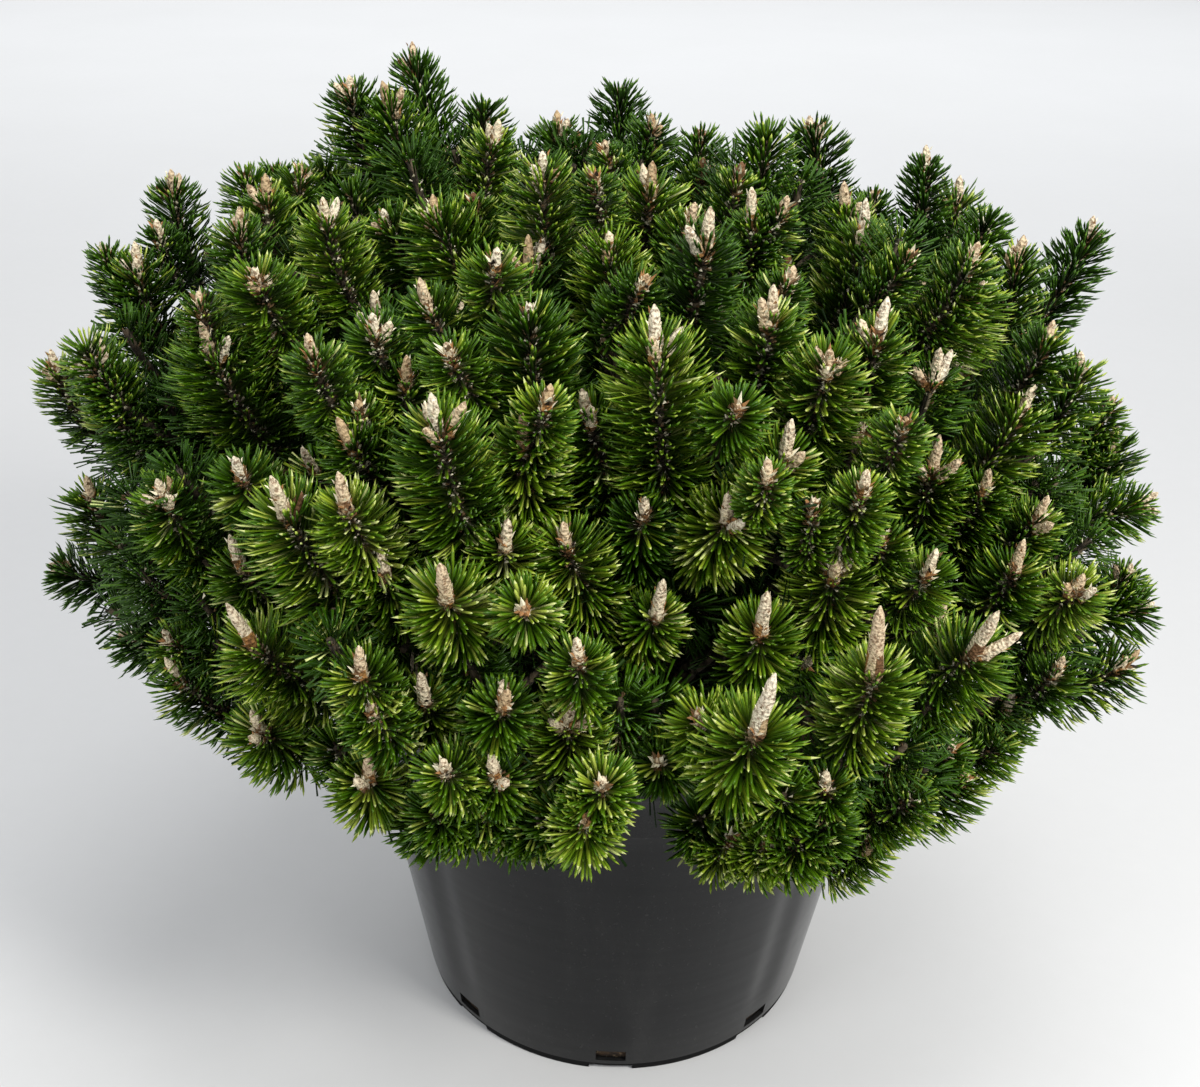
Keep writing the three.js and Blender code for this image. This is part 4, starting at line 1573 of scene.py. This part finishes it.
@dataclass
class OldNeedles(Needles):
    """Older needles along the twigs inside the crown, their dull green darkened as painted shade."""

    pairs_per_centimetre: float = 1.1
    length: float = 0.028
    lowest: float = 0.280
    reach_factors: Span = (0.75, 1.1)
    turn_jitter: float = 0.5
    seed: int = 29

    def line(self, twigs: Array) -> Piece:
        """Makes the needles of the inner twigs.

        Args:
            twigs: (N, 4, 3) curves from forks to shoots.

        Returns:
            The piece.
        """
        rng = np.random.default_rng(self.seed)
        lengths = np.linalg.norm(twigs[:, 3] - twigs[:, 0], axis=1)
        lengths = np.where(twigs[:, :, 2].min(axis=1) < self.lowest, 0.0, lengths)
        counts = (lengths * CENTIMETRES * self.pairs_per_centimetre).astype(int)
        sprays = Sprays.along(twigs, counts, self.turn_jitter, rng)
        reach = self.length * rng.uniform(*self.reach_factors, len(sprays.share))
        points = self.corners(sprays, reach, rng.uniform(0, 2 * math.pi, len(twigs)), rng, False)
        tones = rng.integers(0, len(Palette.INNER.value), len(twigs))[sprays.shoot]
        sheaf = Gatherer("old_needles")
        faces = self.shape(False)
        sheaf.add(points, faces, np.repeat(np.repeat(tones, 2)[:, None], len(faces), axis=1))
        return sheaf.piece(Palette.INNER.materials(), "foliage", rounded=True)


@dataclass
class Buds:
    """Scaly winter buds at the shoots' tips: one longest in the middle and shorter ones round it.

    They stand more upright than their shoots: the level part of the heading is cut to the share upright.
    """

    sides: int = 6
    places: tuple[float, ...] = (0.0, 0.14, 0.38, 0.64, 0.86, 1.0)
    swell: tuple[float, ...] = (1.18, 1.12, 1.0, 0.90, 0.66, 0.14)
    least_radius: float = 0.0023
    radius_per_length: float = 0.036
    splay: float = 32.0
    upright: float = 0.52
    side_turn: float = 2.2
    splay_factors: Span = (0.6, 1.3)
    length_factors: Span = (0.5, 0.92)
    side_step: float = 0.0036
    middle_tilt: float = 7.0
    rooted: float = 0.002
    least_length: float = 0.006
    scale_step: float = 0.09
    roughness: Span = (0.92, 1.08)
    creams: Shares = ((0, 0.46), (1, 0.16), (5, 0.38))
    dulls: Shares = ((2, 0.5), (3, 0.15), (5, 0.35))
    rusts: Shares = ((2, 0.40), (3, 0.25), (4, 0.35))
    dull_lengths: Span = (0.012, 0.024)
    dull_shares: Span = (0.5, 0.14)
    rusty_share: float = 0.35
    line: Span = (0.05, 0.85)
    seed: int = 31

    def rows(self, shoots: Shoots) -> tuple[Array, Array, Array]:
        """Where each bud stands, the way it points and its length.

        Args:
            shoots: the shoots.

        Returns:
            (feet, ways, lengths), one row a bud.
        """
        rng = np.random.default_rng(self.seed)
        parent = np.repeat(np.arange(len(shoots.buds)), shoots.buds)
        order = np.concatenate([np.arange(count) for count in shoots.buds if count])
        way = unit(shoots.headings[parent] * np.array([self.upright, self.upright, 1.0]))
        turn = rng.uniform(0, 2 * math.pi, len(shoots.buds))[parent] + order * self.side_turn
        spoke = spokes(way, way, turn)
        side_tilt = rng.uniform(*self.splay_factors, len(order)) * self.splay
        tilt = np.radians(np.where(order == 0, rng.uniform(0, self.middle_tilt, len(order)), side_tilt))
        ways = unit(np.cos(tilt)[:, None] * way + np.sin(tilt)[:, None] * spoke)
        lengths = np.where(order == 0, 1.0, rng.uniform(*self.length_factors, len(order)))
        step = np.where(order == 0, 0.0, self.side_step)[:, None] * spoke
        lengths = np.maximum(shoots.bud_lengths[parent] * lengths, self.least_length)
        return shoots.tips[parent] + step - self.rooted * way, ways, lengths

    def drawn(self, tones: Shares, shape: int | tuple[int, ...], rng: Rng) -> Array:
        """Draws finish numbers by their shares.

        Args:
            tones: finish numbers and shares.
            shape: how many are drawn.
            rng: the seeded stream.

        Returns:
            The numbers.
        """
        numbers, shares = zip(*tones)
        return rng.choice(numbers, shape, p=shares)

    def tones(self, lengths: Array, quads: int, rng: Rng) -> Array:
        """Scale colours: a bud's own cream above, tan and rusty round the foot, and dull on some short buds.

        Args:
            lengths: bud lengths.
            quads: side faces of a bud.
            rng: the seeded stream.

        Returns:
            (B, quads) finish numbers.
        """
        size = (len(lengths), quads)
        ring = np.arange(quads) // self.sides
        sets = ((self.creams, len(lengths)), (self.dulls, len(lengths)), (self.rusts, size))
        cream, dull, rusty = (self.drawn(tones, shape, rng) for tones, shape in sets)
        dull_share = np.select([lengths < limit for limit in self.dull_lengths], self.dull_shares, 0.0)
        is_dull = rng.uniform(size=len(lengths)) < dull_share
        own = np.where(is_dull, dull, cream)[:, None]
        return np.where((ring == 0) | ((ring == 1) & (rng.uniform(size=size) < self.rusty_share)), rusty, own)

    def build(self, shoots: Shoots) -> tuple[Array, Array]:
        """Makes one piece of all the buds.

        Each bud is a turned profile whose rings are pushed in and out by turns, as overlapping scales are.

        Args:
            shoots: the shoots.

        Returns:
            The buds' (B, 4, 3) middle lines and (B,) radii.
        """
        feet, ways, lengths = self.rows(shoots)
        rng = np.random.default_rng(self.seed + 1)
        count, rings = len(feet), len(self.places)
        place = np.array(self.places) * lengths[:, None]
        path = feet[:, None] + place[..., None] * ways[:, None]
        tangents = np.broadcast_to(ways[:, None], path.shape)
        radii = self.radius_per_length * lengths + self.least_radius
        thick = radii[:, None] * np.array(self.swell)
        odd = (np.arange(self.sides)[None] + np.arange(rings)[:, None]) % 2
        zigzag = 1.0 + self.scale_step * np.where(odd, 1, -1)
        rough = rng.uniform(*self.roughness, (count, rings, self.sides))
        points = tube_points(path, tangents, thick[..., None] * zigzag * rough, self.sides)
        heads = Gatherer("buds")
        heads.add_shell(points, self.sides, self.tones(lengths, (rings - 1) * self.sides, rng))
        heads.piece(Palette.BUD.materials(), "bark", rounded=True)
        return feet[:, None] + np.linspace(*self.line, 4)[:, None] * (lengths[:, None] * ways)[:, None], radii


@dataclass(frozen=True)
class ChipKind:
    """One kind of chip: length, half width, lean along the axis, the colours' shares and its wide end."""

    length: float
    width: float
    lean: float
    shares: tuple[float, ...]
    flared: bool


@dataclass
class Scales:
    """Small chips: sheath ends along the shoots, collars under the buds and loose scales on them."""

    leading_sheaths: float = 23.0
    filling_sheaths: float = 3.0
    sheath_away: float = 0.0010
    round_tip: int = 32
    round_filling: int = 12
    collar_line: tuple[float, ...] = (-0.008, -0.004, 0.000, 0.005)
    collar_away: float = 0.0016
    on_bud: int = 7
    bud_share: float = 0.90
    sheath: ChipKind = ChipKind(0.0034, 0.00100, 0.6, (0.12, 0.36, 0.22, 0.30, 0.0), True)
    collar: ChipKind = ChipKind(0.0054, 0.0016, 1.7, (0.05, 0.26, 0.09, 0.24, 0.36), False)
    loose: ChipKind = ChipKind(0.0030, 0.0009, 2.0, (0.0, 0.22, 0.10, 0.46, 0.22), False)
    turn_jitter: float = 0.6
    length_factors: Span = (0.6, 1.3)
    width_factors: Span = (0.7, 1.3)
    thickness: float = 1.4
    seed: int = 37

    def build(self, axes: Array, shoots: Shoots, leading: int, buds: Array, radii: Array) -> None:
        """Makes one piece of all the chips.

        Args:
            axes: (N, 4, 3) shoot axes.
            shoots: the shoots.
            leading: how many of the shoots lead.
            buds: (B, 4, 3) middle lines of the buds.
            radii: (B,) their radii.
        """
        rng = np.random.default_rng(self.seed)
        chips = Gatherer("bark_scales")
        leads = np.arange(len(axes)) < leading
        sheaths = np.where(leads, self.leading_sheaths, self.filling_sheaths * (shoots.light > LINING_LIGHT))
        counts = (shoots.lengths * CENTIMETRES * sheaths).astype(int)
        self.scatter(chips, axes, counts, self.sheath_away, self.sheath, rng)
        collars = axes[:, 3:] + np.array(self.collar_line)[:, None] * shoots.headings[:, None]
        round_tip = np.where(leads, self.round_tip, self.round_filling) * (shoots.buds > 0)
        self.scatter(chips, collars, round_tip, self.collar_away, self.collar, rng)
        away = np.repeat(radii * self.bud_share, self.on_bud)
        self.scatter(chips, buds, np.full(len(buds), self.on_bud), away, self.loose, rng)
        chips.piece(Palette.CHIP.materials(), "bark")

    def scatter(self, chips: Gatherer, axes: Array, counts: Array, away: Array | float,
                kind: ChipKind, rng: Rng) -> None:
        """Adds chips in a spiral, each a thin pyramid that leans along its axis.

        Args:
            chips: the piece.
            axes: (N, 4, 3) axes.
            counts: (N,) chips on each.
            away: how far from the axis the chips start.
            kind: their size, lean and colours.
            rng: the seeded stream.
        """
        sprays = Sprays.along(axes, counts, self.turn_jitter, rng)
        count = len(sprays.share)
        way = unit(sprays.spoke + kind.lean * sprays.tangent)
        long = kind.length * rng.uniform(*self.length_factors, count)[:, None]
        wide = kind.width * rng.uniform(*self.width_factors, count)[:, None]
        start = sprays.foot + np.reshape(away, (-1, 1)) * sprays.spoke
        half, thick = wide * sprays.aside, self.thickness * wide * sprays.tangent
        base, point = (start + long * way, start) if kind.flared else (start, start + long * way)
        faces = np.array([[0, 2, 1], [0, 1, 3], [1, 2, 3], [2, 0, 3]])
        faces = faces[:, ::-1] if kind.flared else faces
        tones = rng.choice(len(kind.shares), count, p=kind.shares)
        points = np.stack([base - half, base + half, base + thick, point], axis=1)
        chips.add(points, faces, np.repeat(tones[:, None], len(faces), axis=1))


# ---- Pot and compost ----


def turned(profile: Array, sides: int) -> Array:
    """A profile of (radius, height) turned about the Z axis, with its first and last corner on the axis.

    Args:
        profile: (K, 2) corners, running out along the base and up.
        sides: steps round.

    Returns:
        (rings * sides + 2, 3) corners, with the two poles last.
    """
    turn = np.arange(sides) * 2 * math.pi / sides
    radius, height = profile[1:-1, :1], profile[1:-1, 1:]
    rings = [radius * np.cos(turn), radius * np.sin(turn), np.broadcast_to(height, (len(height), sides))]
    poles = np.array([[0.0, 0.0, profile[0, 1]], [0.0, 0.0, profile[-1, 1]]])
    return np.concatenate([np.stack(rings, -1).reshape(-1, 3), poles])


def eased(corners: list[tuple[float, float, float]], steps: int = 4) -> Array:
    """A profile whose corners are rounded: each (radius, height, fillet) becomes a quadratic bend.

    Args:
        corners: radius, height and fillet of each corner, in mm.
        steps: points on each bend.

    Returns:
        (K, 2) profile in metres.
    """
    made = []
    for number, (radius, height, fillet) in enumerate(corners):
        here = np.array([radius, height])
        if fillet == 0:
            made.append(here)
            continue
        before = here + fillet * unit(np.array(corners[number - 1][:2]) - here)
        after = here + fillet * unit(np.array(corners[number + 1][:2]) - here)
        for s in np.linspace(0.0, 1.0, steps):
            made.append((1 - s) ** 2 * before + 2 * s * (1 - s) * here + s**2 * after)
    return np.array(made) * MM


@dataclass
class Pot:
    """The nursery pot: a tapering wall with a band and lip at the top, and eight drains at its foot.

    A drain is a wide notch under the foot and a narrower window through the wall above it.
    """

    height: float = 270.0
    foot_radius: float = 137.0
    taper: float = 0.165
    wall: float = 3.0
    floor: float = 6.0
    band_height: float = 40.0
    band_step: float = 1.5
    lip_height: float = 7.0
    lip_reach: float = 4.0
    undercut: float = 0.6
    foot_height: float = 6.5
    sides: int = 240
    drains: int = 8
    notch_width: float = 29.0
    notch_height: float = 4.5
    window_width: float = 20.0
    window_span: Span = (10.0, 20.0)
    drain_reach: float = 7.0
    first_drain: float = -91.0
    recess_depth: float = 1.7
    recess_width: float = 38.0
    recess_span: Span = (14.0, 226.0)
    recess_ends: Span = (40.0, 26.0)
    foot_rim: float = 9.0
    wall_heights: tuple[int, ...] = (14, 24, 36, 48, 60, 90, 120, 150, 180, 200, 214)
    band_corner: float = 0.8
    band_middle: float = 250.0
    inner_heights: Span = (200.0, 100.0)
    sharp_angle: float = 32.0

    def radius(self, height: float) -> float:
        """Outer radius of the wall at a height."""
        return self.foot_radius + self.taper * height

    def inner_radius(self, height: float) -> float:
        """Inner radius of the wall at a height."""
        return self.radius(height) - self.wall

    def profile(self) -> Array:
        """The pot's section, from the middle of its base round the lip to the middle of its floor.

        Returns:
            (K, 2) radius and height in metres.
        """
        band, lip, top = self.height - self.band_height, self.height - self.lip_height, self.height
        foot, reach, outer, inner = self.foot_height, self.lip_reach, self.radius, self.inner_radius
        return eased([
            (0, 0, 0), (self.foot_radius - self.foot_rim, 0, 0), (self.foot_radius - self.undercut, 0, 0.8),
            (outer(foot), foot, 0.8), *((outer(z), z, 0) for z in self.wall_heights),
            (outer(band), band, 0.4), (outer(band) + self.band_step, band + self.band_corner, 0.4),
            (outer(self.band_middle), self.band_middle, 0), (outer(lip) + self.band_step, lip, 0.6),
            (outer(lip) + reach, lip, 1.0), (outer(top) + reach, top, 1.6),
            (outer(top) - self.wall, top, 1.0), *((inner(z), z, 0) for z in self.inner_heights),
            (inner(self.floor), self.floor, 1.0), (0, self.floor, 0),
        ])

    def recessed(self, points: Array) -> Array:
        """The outer wall pressed in above each drain, in a shallow channel with a raised-cosine section.

        Args:
            points: (K, 3) corners of the turned shell.

        Returns:
            The corners, moved towards the axis.
        """
        around, height = np.arctan2(points[:, 1], points[:, 0]), points[:, 2] / MM
        radius = np.hypot(points[:, 0], points[:, 1]) / MM
        step = 2 * math.pi / self.drains
        off = (around - math.radians(self.first_drain) + step / 2) % step - step / 2
        place = np.clip(off * radius / (self.recess_width / 2), -1.0, 1.0)
        low, high = self.recess_span
        foot, head = self.recess_ends
        rise = smooth(height, low, low + foot) * (1.0 - smooth(height, high - head, high))
        outer = radius > self.radius(0) + self.taper * height - 1.0
        press = self.recess_depth * (0.5 + 0.5 * np.cos(math.pi * place)) * rise * outer
        share = 1.0 - press / np.maximum(radius, 1.0)
        return points * np.stack([share, share, np.ones_like(share)], -1)

    def drain_boxes(self) -> Gatherer:
        """Blocks turned about the axis, which cut the notches and the windows.

        Returns:
            The blocks.
        """
        cutter = Gatherer("drain_cutter")
        corners = np.array([[x, y, z] for x in (-1, 1) for y in (-1, 1) for z in (-1, 1)], float)
        faces = np.array([[0, 1, 3, 2], [4, 6, 7, 5], [0, 4, 5, 1], [2, 3, 7, 6], [0, 2, 6, 4], [1, 5, 7, 3]])
        bearing = np.radians(self.first_drain + np.arange(self.drains) * 360 / self.drains)
        cos, sin = np.cos(bearing)[:, None], np.sin(bearing)[:, None]
        notch = (self.notch_width, -self.notch_height, self.notch_height)
        for width, bottom, top in (notch, (self.window_width, *self.window_span)):
            half = np.array([2 * self.drain_reach, width / 2, (top - bottom) / 2])
            centre = np.array([self.foot_radius + self.drain_reach, 0, (top + bottom) / 2])
            x, y, z = (corners * half + centre).T
            height = np.broadcast_to(z, (self.drains, len(z)))
            cutter.add(np.stack([cos * x - sin * y, sin * x + cos * y, height], -1) * MM, faces)
        return cutter

    def build(self) -> Piece:
        """Makes the pot and cuts its drains.

        Returns:
            The piece.
        """
        shell = Gatherer("nursery_pot")
        shell.add_shell(self.recessed(turned(self.profile(), self.sides))[None], self.sides)
        made = shell.piece([PotPlastic().material()], "pot_plastic", rounded=True)
        cutter = linked("drain_cutter", self.drain_boxes().mesh([], False))
        cut = made.modifiers.new("drains", "BOOLEAN")
        cut.operation, cut.solver, cut.object = "DIFFERENCE", "EXACT", cutter
        bpy.context.view_layer.update()
        done = bpy.data.meshes.new_from_object(made.evaluated_get(bpy.context.evaluated_depsgraph_get()))
        made.modifiers.clear()
        made.data = done
        bpy.data.objects.remove(cutter)
        done.set_sharp_from_angle(angle=math.radians(self.sharp_angle))
        log.info("nursery_pot: %d faces after cutting", len(done.polygons))
        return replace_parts(made, "pot")


@dataclass
class RootBall:
    """The compost: a crumbly top that rises a little to the stem, and rooty sides seen at the drains."""

    sides: int = 160
    rings: int = 46
    wall_rings: int = 14
    clear: float = 0.0007
    crumbs: float = 0.0026
    edge_drop: float = 0.006
    rise: float = 0.0045
    inward: Span = (0.97, 0.03)
    grains: tuple[tuple[float, int, float], ...] = ((55.0, 41, 0.6), (140.0, 43, 0.5))
    crumbled: float = 0.975

    def build(self) -> Piece:
        """Makes the root ball: rings up the wall, then inwards over a top raised by ripples.

        Returns:
            The piece.
        """
        low, high = (np.array(corner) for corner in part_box("root_ball"))
        pot = Pot()
        top = high[2] - self.edge_drop
        heights = list(np.linspace(low[2], top, self.wall_rings))
        wall = [pot.inner_radius(z / MM) * MM - self.clear for z in heights]
        inward = np.linspace(*self.inward, self.rings)
        radii = np.array([0.0, *wall, *(wall[-1] * inward), 0.0])
        rise = top + self.rise * (1 - inward**2)
        points = turned(np.stack([radii, [low[2], *heights, *rise, high[2]]], -1), self.sides)
        grain = sum(ripple(points, waves, seed) * weight for waves, seed, weight in self.grains)
        upper = points[:, 2] > top - MM
        inner = np.hypot(points[:, 0], points[:, 1]) < wall[-1] * self.crumbled
        points[:, 2] += np.where(upper & inner, grain * self.crumbs, 0.0)
        soil = Gatherer("compost")
        soil.add_shell(points[None], self.sides)
        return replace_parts(soil.piece([Compost().material()], "compost", rounded=True), "root_ball")


# ---- Studio ----


@dataclass(frozen=True)
class Softbox:
    """A soft area light aimed at a point."""

    name: str
    place: Triple
    target: Triple
    size: Span
    power: float
    colour: Colour = (1.0, 1.0, 1.0)
    spread: float = 180.0

    def build(self) -> None:
        """Makes the light."""
        data = bpy.data.lights.new(self.name, "AREA")
        data.shape = "RECTANGLE"
        data.size, data.size_y = self.size
        data.energy, data.color = self.power, self.colour
        data.spread = math.radians(self.spread)
        light = linked(self.name, data)
        light.location = self.place
        light.rotation_mode = "QUATERNION"
        light.rotation_quaternion = (Vector(self.target) - Vector(self.place)).to_track_quat("-Z", "Y")


@dataclass(frozen=True)
class Studio:
    """A plain pale floor, soft boxes and pale air."""

    floor_half: float = 9.0
    floor_drop: float = 0.0002
    air: Colour = (0.95, 0.97, 1.0)
    air_strength: float = 0.62
    boxes: tuple[Softbox, ...] = (
        Softbox("key_box", (1.05, -1.15, 1.60), (0.0, 0.0, 0.36), (0.4, 0.4), 27.5, (1.0, 0.985, 0.95)),
        Softbox("left_box", (-1.25, -1.15, 1.25), (0.0, 0.0, 0.34), (0.7, 0.7), 7.0, (0.97, 0.985, 1.0)),
        Softbox("top_box", (0.15, -0.1, 2.2), (0.0, 0.0, 0.4), (1.0, 0.9), 12.0),
        Softbox("back_box", (0.0, 3.8, 3.2), (0.0, 3.8, 0.0), (7.0, 3.6), 62.0, (0.97, 0.985, 1.0), 100.0),
    )

    def build(self) -> None:
        """Makes the floor, the lights and the world."""
        half = self.floor_half
        board = Gatherer("studio_floor")
        corners = np.array([[-half, -half], [half, -half], [half, half], [-half, half]])
        corners = np.pad(corners, ((0, 0), (0, 1)), constant_values=-self.floor_drop)
        board.add(corners[None], np.array([[0, 1, 2, 3]]))
        floor = linked("studio_floor", board.mesh([StudioFloor().material()], False))
        for box in self.boxes:
            box.build()
        world = bpy.data.worlds.new("air")
        bpy.context.scene.world = world
        world.use_nodes = True
        background = world.node_tree.nodes["Background"]
        background.inputs["Color"].default_value = (*self.air, 1.0)
        background.inputs["Strength"].default_value = self.air_strength
        bpy.context.scene.view_settings.view_transform = "Standard"
        log.info("studio ready")


# ---- Assembly ----


def write_sizes() -> None:
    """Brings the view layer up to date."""
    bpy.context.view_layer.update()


def main() -> None:
    """Builds every piece in order."""
    logging.basicConfig(level=logging.INFO, format="%(message)s")
    sight = Sight()
    sight.build()
    crown = Crown()
    leading = crown.seen(sight, LEADING_SHOOTS, crown.sink, 0.0)
    placed = leading.joined(crown.seen(sight, DEEP_SHOOTS, crown.deep_sink, crown.deep_shade))
    shoots = placed.joined(crown.filling(placed.tips)).joined(crown.lining())
    log.info("%d leading shoots, %d placed, %d in all", len(leading.tips), len(placed.tips), len(shoots.tips))
    axes = shoots.axes(crown.outward(shoots.tips))
    limbs = Limbs()
    boughs = [limbs.bough(name.replace("mass_", "bough_")) for name in crown.names]
    limbs.build(boughs)
    twigs = Twigs()
    branches, sprigs = twigs.branch(boughs, axes, shoots.masses)
    twigs.build(branches, sprigs, axes)
    Needles().build(crown, shoots, axes, len(leading.tips))
    OldNeedles().line(sprigs)
    bud_lines, bud_radii = Buds().build(shoots)
    Scales().build(axes, shoots, len(leading.tips), bud_lines, bud_radii)
    Pot().build()
    RootBall().build()
    Studio().build()
    write_sizes()


if __name__ == "__main__":
    main()
